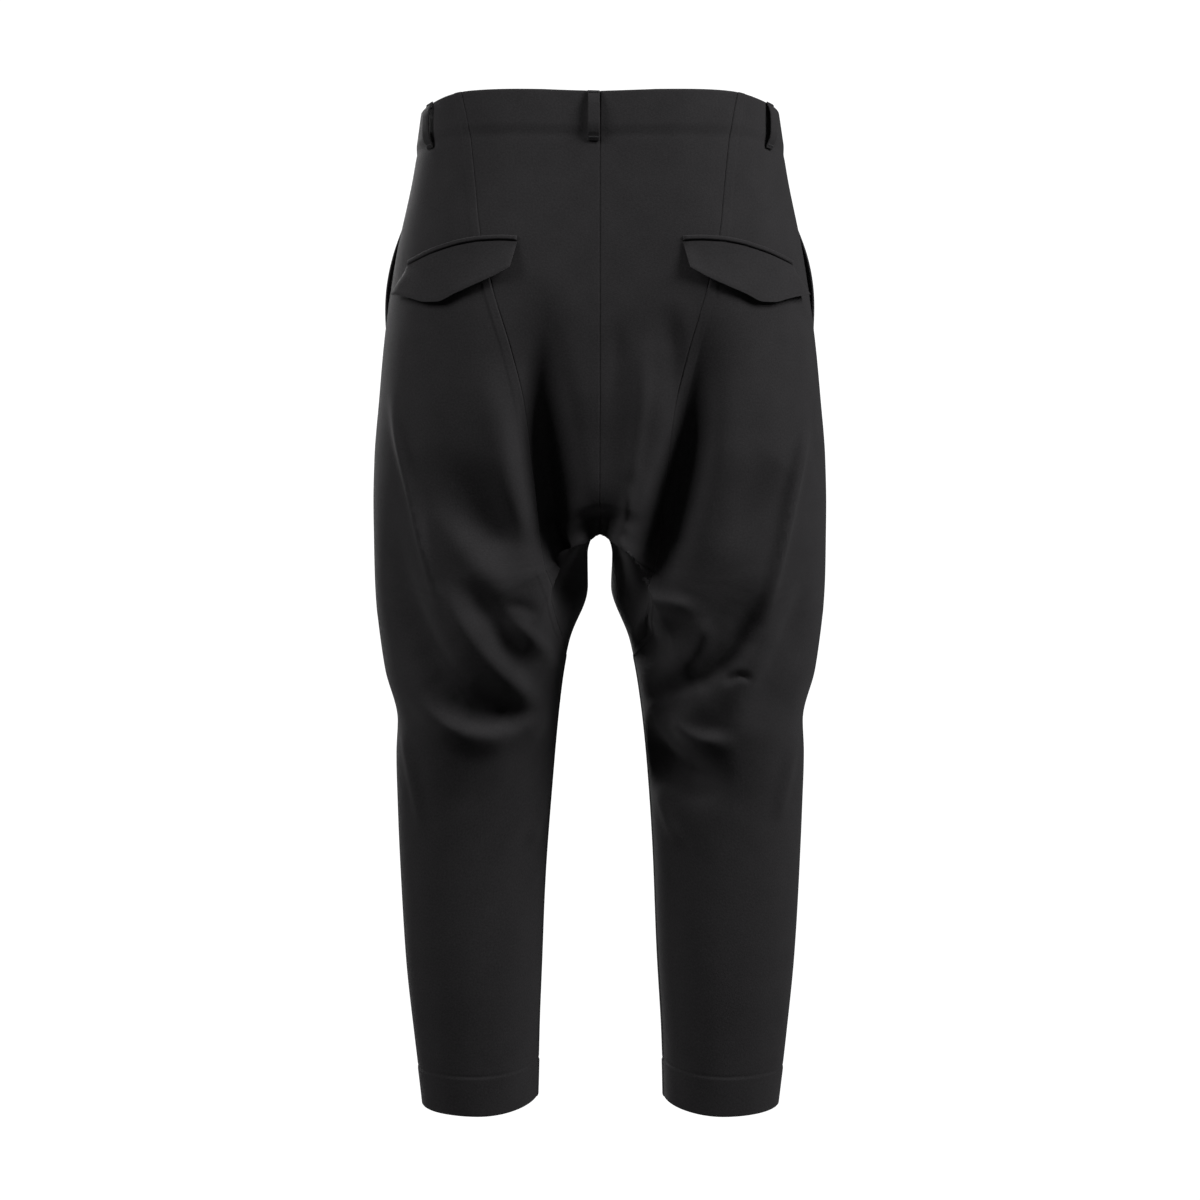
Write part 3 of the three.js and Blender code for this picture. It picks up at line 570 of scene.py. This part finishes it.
# Twill: ribs of yarn that climb across the cloth, broken where each one goes under
twill, twill_in, twill_out = shader_group(
    "Twill", [("Grain", "Vector"), ("Rib", "Float"), ("Slope", "Float")], ["Height", "Yarn"]
)
grain_axes = node(twill, "SeparateXYZ", Vector=twill_in["Grain"]).outputs
leaning = math_node(twill, "MULTIPLY", grain_axes["Y"], twill_in["Slope"])
across_ribs = math_node(twill, "ADD", grain_axes["X"], leaning)
rib_turn = math_node(twill, "DIVIDE", across_ribs, twill_in["Rib"])
rib = math_node(twill, "SINE", math_node(twill, "MULTIPLY", rib_turn, 2 * math.pi))
yarn_turn = math_node(twill, "DIVIDE", grain_axes["Y"], twill_in["Rib"])
yarn = math_node(twill, "SINE", math_node(twill, "MULTIPLY", yarn_turn, 4 * math.pi))
woven = math_node(twill, "MULTIPLY_ADD", rib, 0.35, 0.5)
broken = math_node(twill, "MULTIPLY_ADD", yarn, 0.15, woven)
twill.links.new(broken, twill_out["Height"])
twill.links.new(woven, twill_out["Yarn"])

# Nap: the loose fibre ends over the weave, and the broad cloudy shade of brushed wool
nap, nap_in, nap_out = shader_group(
    "Nap", [("Grain", "Vector"), ("Fibre", "Float"), ("Cloud", "Float")], ["Fuzz", "Shade"]
)
for output, size, detail in (("Fuzz", "Fibre", 3.0), ("Shade", "Cloud", 4.0)):
    nap.links.new(noise(nap, nap_in["Grain"], nap_in[size], detail), nap_out[output])


def cloth_material(name, dark, light, rib, roughness):
    """Wool twill with a nap: darker between its ribs, a little lighter where it is pressed."""
    material, tree, shader = new_material(name)
    grain = node(tree, "UVMap", {"uv_map": "grain"}).outputs["UV"]
    weave = group_outputs(tree, twill, Grain=grain, Rib=rib, Slope=0.6)
    fibres = group_outputs(tree, nap, Grain=grain, Fibre=0.0018, Cloud=0.03)
    pressed = node(tree, "Attribute", {"attribute_name": "pressed"}).outputs["Fac"]
    shade = math_node(tree, "MULTIPLY", weave["Yarn"], 0.35)
    for output, lowest, strength in (("Fuzz", 0.28, 0.95), ("Shade", 0.08, 0.5)):
        uneven = math_node(tree, "SUBTRACT", fibres[output], lowest)
        shade = math_node(tree, "ADD", shade, math_node(tree, "MULTIPLY", uneven, strength))
    shade = math_node(tree, "ADD", shade, math_node(tree, "MULTIPLY", pressed, 0.12))
    tree.links.new(colour_between(tree, dark, light, shade), shader.inputs["Base Color"])
    rough = math_node(tree, "MULTIPLY_ADD", pressed, -0.12, roughness)
    tree.links.new(rough, shader.inputs["Roughness"])
    relief = math_node(tree, "MULTIPLY", weave["Height"], 0.5)
    relief = math_node(tree, "ADD", relief, math_node(tree, "MULTIPLY", fibres["Fuzz"], 0.9))
    bump = node(tree, "Bump", Strength=0.55, Distance=0.00025, Height=relief)
    tree.links.new(bump.outputs["Normal"], shader.inputs["Normal"])
    shader.inputs["Sheen Weight"].default_value = 0.08
    shader.inputs["Sheen Roughness"].default_value = 0.4
    shader.inputs["Sheen Tint"].default_value = (0.95, 0.93, 0.96, 1)
    shader.inputs["Specular IOR Level"].default_value = 0.25
    return material


wool = cloth_material("wool_twill", (0.0105, 0.0098, 0.0108), (0.030, 0.0285, 0.0302), 0.0011, 0.9)


def finish_cloth(piece):
    """Each piece of wool bears the name of the plain solid whose place it takes."""
    cad_node = piece.name.removeprefix("cloth_")
    piece.data.materials.append(wool)
    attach(piece, "root")
    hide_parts(cad_node)


HANDS = ((-1, "left"), (1, "right"))
centre_back_levels = LEVELS[LEVELS > SEAM_END_LEVEL + 1.2]
back_seam_stations = station_at_x(centre_back_levels, back_seam_x(centre_back_levels), "back")
back_seam_girth = girth_at(centre_back_levels, back_seam_stations)
for side, hand in HANDS:
    centre_back = panel(
        f"cloth_back_centre_{hand}",
        side,
        centre_back_levels,
        np.full(len(centre_back_levels), -SEAM_LAP),
        back_seam_girth + SEAM_LAP,
        columns=34,
        seams=(0.05, 0),
    )
    finish_cloth(centre_back)

# Side back: one long panel a side, from the panel seam to the side seam. Below the tip of the
# centre back its inner edge is the inseam. The leg end is turned up and felled by hand.
SIDE_SEAM = 1.94
side_back_start = np.zeros(len(LEVELS))
side_back_start[: len(centre_back_levels)] = back_seam_girth
side_back_start -= SEAM_LAP
side_seam_girth = girth_at(LEVELS, SIDE_SEAM)
for side, hand in HANDS:
    side_back = panel(
        f"cloth_back_side_{hand}",
        side,
        LEVELS,
        side_back_start,
        side_seam_girth + SEAM_LAP,
        columns=60,
        seams=(0.65, 0.12),
    )
    finish_cloth(side_back)

# Back pockets: a narrow welt set into the seat, and a pointed flap of two layers bagged out
# and pressed, which comes out from under the welt. Its lower edge is free and stands off.
WELT_HEIGHT, WELT_THICKNESS, SLOT, SLOT_DEPTH = 4.6, 2.6, 0.6, 0.7
WELT_EDGE, WELT_ROUNDING, WELT_GAP = 0.5, 1.6, 0.2
FLAP_THICKNESS, FLAP_EDGE, FLAP_ROUNDING, FLAP_LIFT = 2.2, 1.1, 1.3, 4.4
LAP_GAP, FLAP_END_LIFT, FLAP_END_REACH = 0.35, 2.2, 9
FLAP_ALLOWANCE, FLAP_ALLOWANCE_STEP = (5, 6.5), 0.3  # turned in round its edge
FLAP_ROWS, FLAP_COLUMNS_BETWEEN, WELT_ROWS = 22, 8, 10
FLAP = np.array([  # x and z of the upper edge and of the lower edge, in the back view
    [73, -131, 79, -155],
    [88, -130.3, 94, -163.5],
    [104, -130.7, 109, -170.5],
    [122, -132.8, 125, -177.5],
    [138, -136.3, 140, -184],
    [148, -138.8, 151, -183.4],
    [160, -142.7, 166, -178],
    [172.5, -147, 181.5, -172.5],
])


def cloth_point(side, level, station, out):
    """Points a distance off the folded cloth, and its normals there."""

    def surface(level, station):
        return cloth_surface(side, level, station, 0)[0]

    along = surface(level, station + STATION_STEP) - surface(level, station - STATION_STEP)
    upper = surface(np.minimum(level + LEVEL_STEP, 0), station)
    normals = unit(np.cross(along, upper - surface(level - LEVEL_STEP, station))) * side
    return surface(level, station) + normals * np.asarray(out)[..., None], normals


def laid_on(name, side, level, station, out, thickness, x, pressed):
    """A piece that lies on the folded cloth, from grids of its levels and stations."""
    outer, normals = cloth_point(side, level, station, out)
    inner = outer - normals * thickness[..., None]
    return shell(name, outer, inner, np.stack((x, level), -1), pressed, side)


def on_back(name, side, level, x, out, thickness, pressed):
    station = station_at_x(level.ravel(), x.ravel(), "back").reshape(x.shape)
    return laid_on(name, side, level, station, out, thickness, x, pressed)


flap_at = np.linspace(0, len(FLAP) - 1, (len(FLAP) - 1) * FLAP_COLUMNS_BETWEEN + 1)
flap_table = np.stack([curve_of(np.arange(len(FLAP)), column)(flap_at) for column in FLAP.T])
top_x, top_z, bottom_x, bottom_z = flap_table
flap_end = np.minimum(flap_at, flap_at[-1] - flap_at) * (FLAP[-1, 0] - FLAP[0, 0]) / flap_at[-1]
for side, hand in HANDS:
    share = np.linspace(0, 1, FLAP_ROWS + 1)[:, None] ** 0.9
    drop = np.hypot(bottom_x - top_x, bottom_z - top_z)
    edge = np.minimum(flap_end[None], (1 - share) * drop)
    body = 1 - swell(edge, FLAP_ROUNDING)
    thickness = mix(FLAP_EDGE, FLAP_THICKNESS, body)
    thickness = thickness + FLAP_ALLOWANCE_STEP * (1 - ramp(*FLAP_ALLOWANCE, edge)) * body
    end_lift = FLAP_END_LIFT * swell(flap_end[None], FLAP_END_REACH) * ramp(0.05, 0.7, share)
    out = LAP_GAP + FLAP_THICKNESS / 2 + thickness / 2 + FLAP_LIFT * share**2 + end_lift
    x, z = mix(top_x, bottom_x, share), mix(top_z - SLOT_DEPTH, bottom_z, share)
    flap = on_back(f"cloth_back_flap_{hand}", side, z, x, out, thickness, swell(edge, 1.5))
    finish_cloth(flap)
    share = np.linspace(0, 1, WELT_ROWS + 1)[:, None]
    edge = np.minimum(flap_end[None], np.minimum(share, 1 - share) * WELT_HEIGHT)
    thickness = mix(WELT_EDGE, WELT_THICKNESS, quarter_round(edge / WELT_ROUNDING))
    out = np.broadcast_to(WELT_GAP + thickness, (WELT_ROWS + 1, len(top_x)))
    x = np.broadcast_to(top_x, out.shape)
    z = top_z + SLOT + WELT_HEIGHT * (1 - share)
    welt = on_back(f"cloth_back_welt_{hand}", side, z, x, out, thickness, np.exp(-edge))
    finish_cloth(welt)

# Pocket facings: the hip pieces behind the slanted side pockets. Each fills the corner between
# the pocket mouth and the side seam, and runs on a little under the front.
MOUTH_TOP_LEVEL, POCKET_END_LEVEL, MOUTH_TOP_STATION = -FACING_DEPTH, -198, 2.24
MOUTH_GAPE, MOUTH_SAG, MOUTH_REACH = 6.5, 1.4, 30
UNDERLAP, FACING_DIP, FACING_DROP = 13, 10, 2


def mouth_share(level):
    return np.clip((MOUTH_TOP_LEVEL - level) / (MOUTH_TOP_LEVEL - POCKET_END_LEVEL), 0, 1)


def mouth_girth(level):
    return girth_at(level, mix(MOUTH_TOP_STATION, SIDE_SEAM, mouth_share(level)))


facing_levels = LEVELS[LEVELS >= POCKET_END_LEVEL]
facing_mouth = mouth_girth(facing_levels)
facing_end = facing_mouth + UNDERLAP * ramp(-FACING_DEPTH, -FACING_DEPTH - 4, facing_levels)


def facing_out(rows, girth):
    """The facing drops below the front where it runs under it."""
    under = 1 - ramp(0, FACING_DIP, facing_mouth[:, None] - girth)
    return -FACING_DROP * under * ramp(-FACING_DEPTH, -FACING_DEPTH - 4, rows)


for side, hand in HANDS:
    pocket_facing = panel(
        f"cloth_pocket_facing_{hand}",
        side,
        facing_levels,
        side_seam_girth[: len(facing_levels)] - SEAM_LAP,
        facing_end,
        columns=8,
        seams=(0.12, 0),
        out=facing_out,
    )
    finish_cloth(pocket_facing)

# Fronts: one panel a side, from the pocket mouth and the side seam to the centre front and the
# inseam. The mouth's edge is turned and gapes. The left front has the fly cut on, and laps over.
FLY_END_LEVEL, FLY_OVERLAP, FLY_LIFT = -176, 11, 2.6
PLACKET_WIDTH, PLACKET_TOP, PLACKET_TURN = 34, -2, -150
STITCH_PITCH, STITCH_LENGTH, STITCH_OFF = 3.3, 2.8, 0.1


def front_out(rows, girth):
    """The pocket mouth's edge stands off, widest below its middle."""
    share = mouth_share(rows)
    reach = (girth - mouth_girth(LEVELS)[:, None]) / MOUTH_REACH
    return MOUTH_GAPE * np.sin(math.pi * share**MOUTH_SAG) * (1 - ramp(0, 1, reach))


def lap_rise(before_centre):
    return FLY_LIFT * ramp(9, 1, before_centre)


def fly_out(rows, girth):
    """The left front also rises over the edge of the right one."""
    before_centre = front_centre_girth[:, None] - girth
    lap = lap_rise(before_centre) * ramp(FLY_END_LEVEL - 6, FLY_END_LEVEL, rows)
    return front_out(rows, girth) + lap


front_centre_girth = girth_at(LEVELS, INNER_FRONT)
mouth_free = (LEVELS > POCKET_END_LEVEL) & (LEVELS < MOUTH_TOP_LEVEL)
for side, hand in HANDS:
    is_lapped = side < 0
    overlap = FLY_OVERLAP * ramp(FLY_END_LEVEL, FLY_END_LEVEL + 12, LEVELS) if is_lapped else 0
    front = panel(
        f"cloth_front_{hand}",
        side,
        LEVELS,
        np.maximum(mouth_girth(LEVELS), side_seam_girth) - SEAM_LAP,
        front_centre_girth + np.maximum(SEAM_LAP, overlap),
        columns=84,
        seams=(0, 0.05),
        free_edges=(mouth_free[:, None], is_lapped & (LEVELS[:, None] > FLY_END_LEVEL)),
        out=fly_out if is_lapped else front_out,
    )
    finish_cloth(front)


def stitches(name, starts, ends, normals, radius=0.22, sink=0.1):
    """One object of separate stitches, each a little arc of thread that dips in at its ends."""
    share = np.linspace(0, 1, 7)
    arc = (radius + sink) * np.sin(math.pi * share) - sink
    along = unit(ends - starts)
    beside = unit(np.cross(along, normals))
    turn = np.linspace(0, 2 * math.pi, 6, endpoint=False)
    ring = np.cos(turn)[:, None] * beside[:, None, None]
    ring = ring + np.sin(turn)[:, None] * normals[:, None, None]
    middle = mix(starts[:, None], ends[:, None], share[:, None]) + normals[:, None] * arc[:, None]
    points = middle[:, :, None] + radius * ring
    count, rings, sides = points.shape[:3]
    number = np.arange(count * rings * sides).reshape(count, rings, sides)
    after = np.roll(number, -1, axis=2)
    walls = np.stack((number[:, :-1], after[:, :-1], after[:, 1:], number[:, 1:]), -1)
    mesh = bpy.data.meshes.new(name)
    faces = walls.reshape(-1, 4).tolist() + number[:, 0, ::-1].tolist() + number[:, -1].tolist()
    mesh.from_pydata((points.reshape(-1, 3) * MM).tolist(), [], faces)
    length = np.linalg.norm(ends - starts, axis=-1)[:, None, None] * share[:, None]
    along_thread = np.broadcast_to(length, points.shape[:3]).ravel()
    around_thread = np.broadcast_to(turn * radius, points.shape[:3]).ravel()
    map_grain(mesh, np.stack((along_thread, around_thread), -1))
    mesh.shade_smooth()
    mesh.materials.append(thread)
    piece = placed(name, mesh)
    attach(piece, "root")


# The fly's placket is held by one row of stitches that turns in to the centre at its foot
thread = cloth_material("sewing_thread", (0.008, 0.008, 0.009), (0.045, 0.044, 0.047), 0.0004, 0.6)
straight = np.linspace(PLACKET_TOP, PLACKET_TURN + 2, 60)
turn = np.linspace(0, math.pi / 2, 16)
turned = PLACKET_TURN + (FLY_END_LEVEL - PLACKET_TURN) * np.sin(turn)
placket_levels = np.concatenate((straight, turned))
placket_in = PLACKET_WIDTH * np.concatenate((np.ones(len(straight)), np.cos(turn)))
centre_at = girth_at(placket_levels, INNER_FRONT)
placket_stations = station_at(placket_levels, (centre_at - placket_in)[:, None])[:, 0]
placket_out = STITCH_OFF + lap_rise(placket_in)
placket, placket_normals = cloth_point(-1, placket_levels, placket_stations, placket_out)
run = np.concatenate(([0], np.cumsum(np.linalg.norm(np.diff(placket, axis=0), axis=1))))


def on_placket(distance, values):
    return np.stack([np.interp(distance, run, column) for column in values.T], -1)


stitch_starts = np.arange(0, run[-1] - STITCH_PITCH, STITCH_PITCH)
stitches(
    "placket_stitches",
    on_placket(stitch_starts, placket),
    on_placket(stitch_starts + STITCH_LENGTH, placket),
    unit(on_placket(stitch_starts, placket_normals)),
)

# Fly shield: a plain strip of twill behind the fly's opening, so that nothing shows through it.
# It is sewn to the right front's edge inside and covered by the left front's lap.
SHIELD_WIDTH, SHIELD_TOP, SHIELD_BOTTOM, SHIELD_BEHIND = 44, -7, -192, 2.9


def strip(top, foot, rows, columns):
    """A grid of the levels down a strip of cloth, and of the shares across it from its middle."""
    return np.meshgrid(np.linspace(top, foot, rows), np.linspace(-0.5, 0.5, columns), indexing="ij")


shield_level, shield_across = strip(SHIELD_TOP, SHIELD_BOTTOM, 64, 18)
shield_x = shield_across * SHIELD_WIDTH
shield_edge = np.minimum(
    (0.5 - abs(shield_across)) * SHIELD_WIDTH,
    np.minimum(SHIELD_TOP - shield_level, shield_level - SHIELD_BOTTOM),
)
shield_draw = turned_edge(shield_edge, LAYER / 2)
shield = laid_on(
    "cloth_fly_shield",
    1,
    shield_level,
    past_centre(shield_level, shield_x),
    -SHIELD_BEHIND - shield_draw,
    LAYER - 2 * shield_draw,
    shield_x,
    np.exp(-shield_edge),
)
finish_cloth(shield)

# Belt loops: five strips of twill folded in three, their ends turned under and held by a bar
# tack at the top and one at the foot. Between the tacks they stand off for the belt.
LOOP_WIDTH, LOOP_THICKNESS, LOOP_TOP, LOOP_FOOT = 10.5, 2.0, -0.5, -44
LOOP_EDGE, LOOP_ROUNDING, LOOP_GROOVE, GROOVE_IN, GROOVE_WIDTH = 0.7, 1.0, 0.16, 1.6, 0.35
LOOPS = [  # name, side, face of the waist, x there, and the piece beneath
    ("back", -1, "back", 5.6, "cloth_back_centre_left"),
    ("side_left", -1, "back", 151, "cloth_back_side_left"),
    ("side_right", 1, "back", 151, "cloth_back_side_right"),
    ("front_left", -1, "front", 78, "cloth_front_left"),
    ("front_right", 1, "front", 78, "cloth_front_right"),
]
BOW = np.array([  # level, distance off the cloth
    [-0.5, 0.5], [-2.5, 0.9], [-7, 2.7], [-14, 4.1], [-28, 4.4],
    [-36, 3.6], [-41, 1.7], [-43.6, 0.5], [-44, 0.5],
])
TACK_LEVELS, TACK_WIDTH, TACK_HEIGHT = (-2.4, -41.8), 8.6, 1.6
TACK_STITCHES, TACK_OFF = 20, 0.05
bow = curve_of(BOW[:, 0], BOW[:, 1])
loop_level, loop_across = strip(LOOP_TOP, LOOP_FOOT, 70, 23)
loop_side = (0.5 - abs(loop_across)) * LOOP_WIDTH
loop_end = np.minimum(LOOP_TOP - loop_level, loop_level - LOOP_FOOT)
loop_round = quarter_round(np.minimum(loop_side, loop_end) / LOOP_ROUNDING)
loop_thick = mix(LOOP_EDGE, LOOP_THICKNESS, loop_round)
loop_groove = LOOP_GROOVE * swell(loop_side - GROOVE_IN, GROOVE_WIDTH)
loop_out = bow(loop_level) + (LOOP_THICKNESS + loop_thick) / 2 - loop_groove
tack_across = np.tile(np.linspace(-0.5, 0.5, TACK_STITCHES) * TACK_WIDTH / LOOP_WIDTH, 2)
tack_level = np.repeat(TACK_LEVELS, TACK_STITCHES)


def loop_station(face, x, level, across_share):
    """Stations at levels and shares of the width of a loop whose middle keeps to one x."""
    flat_level = level.ravel()
    middle = station_at_x(flat_level, x, face)
    girth = girth_at(flat_level, middle) + across_share.ravel() * LOOP_WIDTH
    return station_at(flat_level, girth[:, None])[:, 0].reshape(level.shape)


for name, side, face, x, beneath in LOOPS:
    loop = laid_on(
        f"cloth_belt_loop_{name}",
        side,
        loop_level,
        loop_station(face, x, loop_level, loop_across),
        loop_out,
        loop_thick,
        loop_across * LOOP_WIDTH,
        1 - loop_round,
    )
    finish_cloth(loop)
    ends = []
    for rise in (TACK_HEIGHT / 2, -TACK_HEIGHT / 2):
        level = tack_level + rise
        station = loop_station(face, x, level, tack_across)
        ends.append(cloth_point(side, level, station, bow(level) + LOOP_THICKNESS + TACK_OFF))
    stitches(f"belt_loop_tacks_{name}", ends[0][0], ends[1][0], ends[0][1], radius=0.24)

# Waist button: turned horn with a raised rim and four holes, sewn to the right front with two
# bars of thread. It comes through a buttonhole worked in the left front's lap.
BUTTON_LEVEL, BUTTON_X, BUTTON_OFF = -19, -2, 0.3
BUTTON_PROFILE = [  # radius and height over the cloth, from the face's middle round to the back
    (4.8, 1.6), (5.6, 1.72), (6.3, 2.05), (6.9, 2.32), (7.5, 2.4), (8.0, 2.22), (8.36, 1.85),
    (8.5, 1.35), (8.44, 0.85), (8.15, 0.4), (7.7, 0.1), (7.1, 0.0),
]
HOLE_RADIUS, HOLE_SPREAD, BUTTON_SEGMENTS, DRILL_LENGTH, DRILL_SEGMENTS = 1.0, 1.9, 64, 8, 24
STRANDS, STRAND_HEIGHT = (-0.34, 0, 0.34), 1.7
BUTTONHOLE_LENGTH, BUTTONHOLE_PITCH, BUTTONHOLE_SLIT, BUTTONHOLE_DEPTH = 20, 0.62, 0.15, 1.7
HOLES = [(-1, -1), (1, -1), (1, 1), (-1, 1)]


def mesh_from(builder, name):
    mesh = bpy.data.meshes.new(name)
    builder.to_mesh(mesh)
    builder.free()
    return mesh


button_builder = bmesh.new()
rings = []
for radius, height in BUTTON_PROFILE:
    ring = []
    for a in np.linspace(0, 2 * math.pi, BUTTON_SEGMENTS, endpoint=False):
        at = radius * math.cos(a) * MM, radius * math.sin(a) * MM, height * MM
        ring.append(button_builder.verts.new(at))
    rings.append(ring)
for upper, lower in zip(rings, rings[1:]):
    for i in range(BUTTON_SEGMENTS):
        j = (i + 1) % BUTTON_SEGMENTS
        button_builder.faces.new((upper[i], lower[i], lower[j], upper[j]))
button_builder.faces.new(rings[0])
button_builder.faces.new(rings[-1][::-1])
drill_builder = bmesh.new()
for x, y in HOLES:
    drill = bmesh.ops.create_cone(
        drill_builder, cap_ends=True, segments=DRILL_SEGMENTS, radius1=HOLE_RADIUS * MM,
        radius2=HOLE_RADIUS * MM, depth=DRILL_LENGTH * MM,
    )
    bmesh.ops.translate(
        drill_builder, verts=drill["verts"], vec=(x * HOLE_SPREAD * MM, y * HOLE_SPREAD * MM, MM)
    )
blank = placed("button_blank", mesh_from(button_builder, "waist_button_horn"))
drills = placed("drill", mesh_from(drill_builder, "drill"))
drilling = blank.modifiers.new("holes", "BOOLEAN")
drilling.operation, drilling.solver, drilling.object = "DIFFERENCE", "EXACT", drills
drilled = blank.evaluated_get(bpy.context.evaluated_depsgraph_get())
button_mesh = bpy.data.meshes.new_from_object(drilled)
for tool in (blank, drills):
    bpy.data.objects.remove(tool)

button_level = np.array([BUTTON_LEVEL])
(button_at,), (button_normal,) = cloth_point(
    -1, button_level, past_centre(button_level, BUTTON_X), np.array([FLY_LIFT + BUTTON_OFF])
)
button_frame = Vector(button_normal).to_track_quat("Z", "Y").to_matrix().to_4x4()
button_frame.translation = Vector(button_at) * MM
button_mesh.transform(button_frame)
button_mesh.shade_smooth()
button_mesh.set_sharp_from_angle(angle=math.radians(40))
button = placed("waist_button_horn", button_mesh)

# Horn: dark, with paler streaks that run through it
streaks, streaks_in, streaks_out = shader_group(
    "Horn streaks", [("Place", "Vector"), ("Size", "Float")], ["Streak"]
)
stretched = node(
    streaks, "VectorMath", {"operation": "MULTIPLY"}, i0=streaks_in["Place"], i1=(1.0, 4.0, 1.0)
).outputs[0]
streaks.links.new(noise(streaks, stretched, streaks_in["Size"], 5.0), streaks_out["Streak"])
horn, horn_tree, horn_shader = new_material("dark_horn")
place = node(horn_tree, "TexCoord").outputs["Object"]
streak = group_outputs(horn_tree, streaks, Place=place, Size=0.006)["Streak"]
horn_colour = colour_between(horn_tree, (0.006, 0.006, 0.007), (0.035, 0.03, 0.026), streak)
horn_tree.links.new(horn_colour, horn_shader.inputs["Base Color"])
horn_rough = math_node(horn_tree, "MULTIPLY_ADD", streak, 0.25, 0.22)
horn_tree.links.new(horn_rough, horn_shader.inputs["Roughness"])
button.data.materials.clear()
button.data.materials.append(horn)
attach(button, "root")
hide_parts("waist_button")

bar_starts, bar_ends = [], []
for y in (-1, 1):
    for strand in STRANDS:
        for ends, x in ((bar_starts, -1), (bar_ends, 1)):
            at = Vector((x * HOLE_SPREAD, y * HOLE_SPREAD + strand, STRAND_HEIGHT)) * MM
            ends.append((button_frame @ at) / MM)
bar_normals = np.broadcast_to(button_normal, (len(bar_starts), 3))
stitches(
    "button_thread", np.array(bar_starts), np.array(bar_ends), bar_normals, radius=0.2, sink=0.9
)
worked = np.arange(0, BUTTONHOLE_LENGTH, BUTTONHOLE_PITCH)
hole_x = BUTTON_X - np.tile(worked, 2)
hole_levels = np.full(len(hole_x), float(BUTTON_LEVEL))
hole_ends = []
for depth in (BUTTONHOLE_SLIT, BUTTONHOLE_DEPTH):
    level = hole_levels + np.repeat((depth, -depth), len(worked))
    hole_out = STITCH_OFF + lap_rise(-hole_x)
    hole_ends.append(cloth_point(-1, level, past_centre(level, hole_x), hole_out))
stitches("buttonhole_stitches", hole_ends[0][0], hole_ends[1][0], hole_ends[0][1], radius=0.28)

# Stage: a plain pale floor under the trousers in a white studio. A tall soft light stands far out
# on either side, the right one stronger, with a weak one high up and one that lights the front.
FLOOR_LEVEL, FLOOR_RADIUS, FLOOR_SEGMENTS = -1.2, 40, 96
WHITE, BACKDROP_GLOW, ROOM_GLOW = (1, 1, 1, 1), 1.1, 0.003


def unlike_for_camera(tree, look, camera_look):
    """One look for the light and its reflections, and another one straight from the camera."""
    for_camera = node(tree, "LightPath").outputs["Is Camera Ray"]
    return node(tree, "MixShader", i0=for_camera, i1=look, i2=camera_look).outputs[0]


floor_builder = bmesh.new()
bmesh.ops.create_circle(
    floor_builder, cap_ends=True, radius=FLOOR_RADIUS, segments=FLOOR_SEGMENTS
)
floor = placed("floor", mesh_from(floor_builder, "floor"))
floor.location.z = FLOOR_LEVEL
floor_paint, paint, floor_shader = new_material("floor_paint")
floor_shader.inputs["Base Color"].default_value = (0.1, 0.1, 0.1, 1)
floor_shader.inputs["Roughness"].default_value = 0.8
glow = node(paint, "Emission", Color=WHITE, Strength=BACKDROP_GLOW).outputs[0]
floor_look = unlike_for_camera(paint, floor_shader.outputs[0], glow)
paint.links.new(floor_look, paint.nodes["Material Output"].inputs["Surface"])
floor.data.materials.append(floor_paint)

MIDDLE = Vector((0, 0, -0.45))
LIGHTS = [  # name, place, width, height, watts
    ("key_right", (2.5, -1.25, 1.6), 1.3, 1.8, 112),
    ("key_left", (-2.5, -1.25, 1.6), 1.3, 1.8, 64),
    ("top", (0.4, -2.0, 3.0), 0.8, 0.8, 6),
    ("far_side", (-1.4, 3.4, 1.7), 1.6, 1.6, 150),
]
for name, place, width, height, watts in LIGHTS:
    light = bpy.data.lights.new(name, "AREA")
    light.shape = "RECTANGLE"
    light.size, light.size_y, light.energy = width, height, watts
    lamp = placed(name, light)
    lamp.location = place
    lamp.rotation_euler = (MIDDLE - Vector(place)).to_track_quat("-Z", "Y").to_euler()
    lamp.visible_camera = False

world = bpy.data.worlds.new("studio")
world.use_nodes = True
bpy.context.scene.world = world
sky = world.node_tree
sky.nodes.clear()
backdrop = node(sky, "Background", Color=WHITE, Strength=BACKDROP_GLOW).outputs[0]
room = node(sky, "Background", Color=WHITE, Strength=ROOM_GLOW).outputs[0]
sky_look = unlike_for_camera(sky, room, backdrop)
sky.links.new(sky_look, node(sky, "OutputWorld").inputs["Surface"])

# Camera: square to the back, 3 m away, with the frame 1.104 m wide at the trousers' middle
CAMERA_DISTANCE, CAMERA_LEVEL, FRAME_WIDTH, SENSOR_WIDTH = 3.0, -0.4462, 1.104, 36
camera_data = bpy.data.cameras.new("camera")
camera_data.sensor_width = SENSOR_WIDTH
camera_data.lens = SENSOR_WIDTH * CAMERA_DISTANCE / FRAME_WIDTH
camera = placed("camera", camera_data)
camera.location = (0, -CAMERA_DISTANCE, CAMERA_LEVEL)
camera.rotation_euler = (math.pi / 2, 0, 0)
bpy.context.scene.camera = camera
bpy.context.scene.view_settings.view_transform = "Standard"
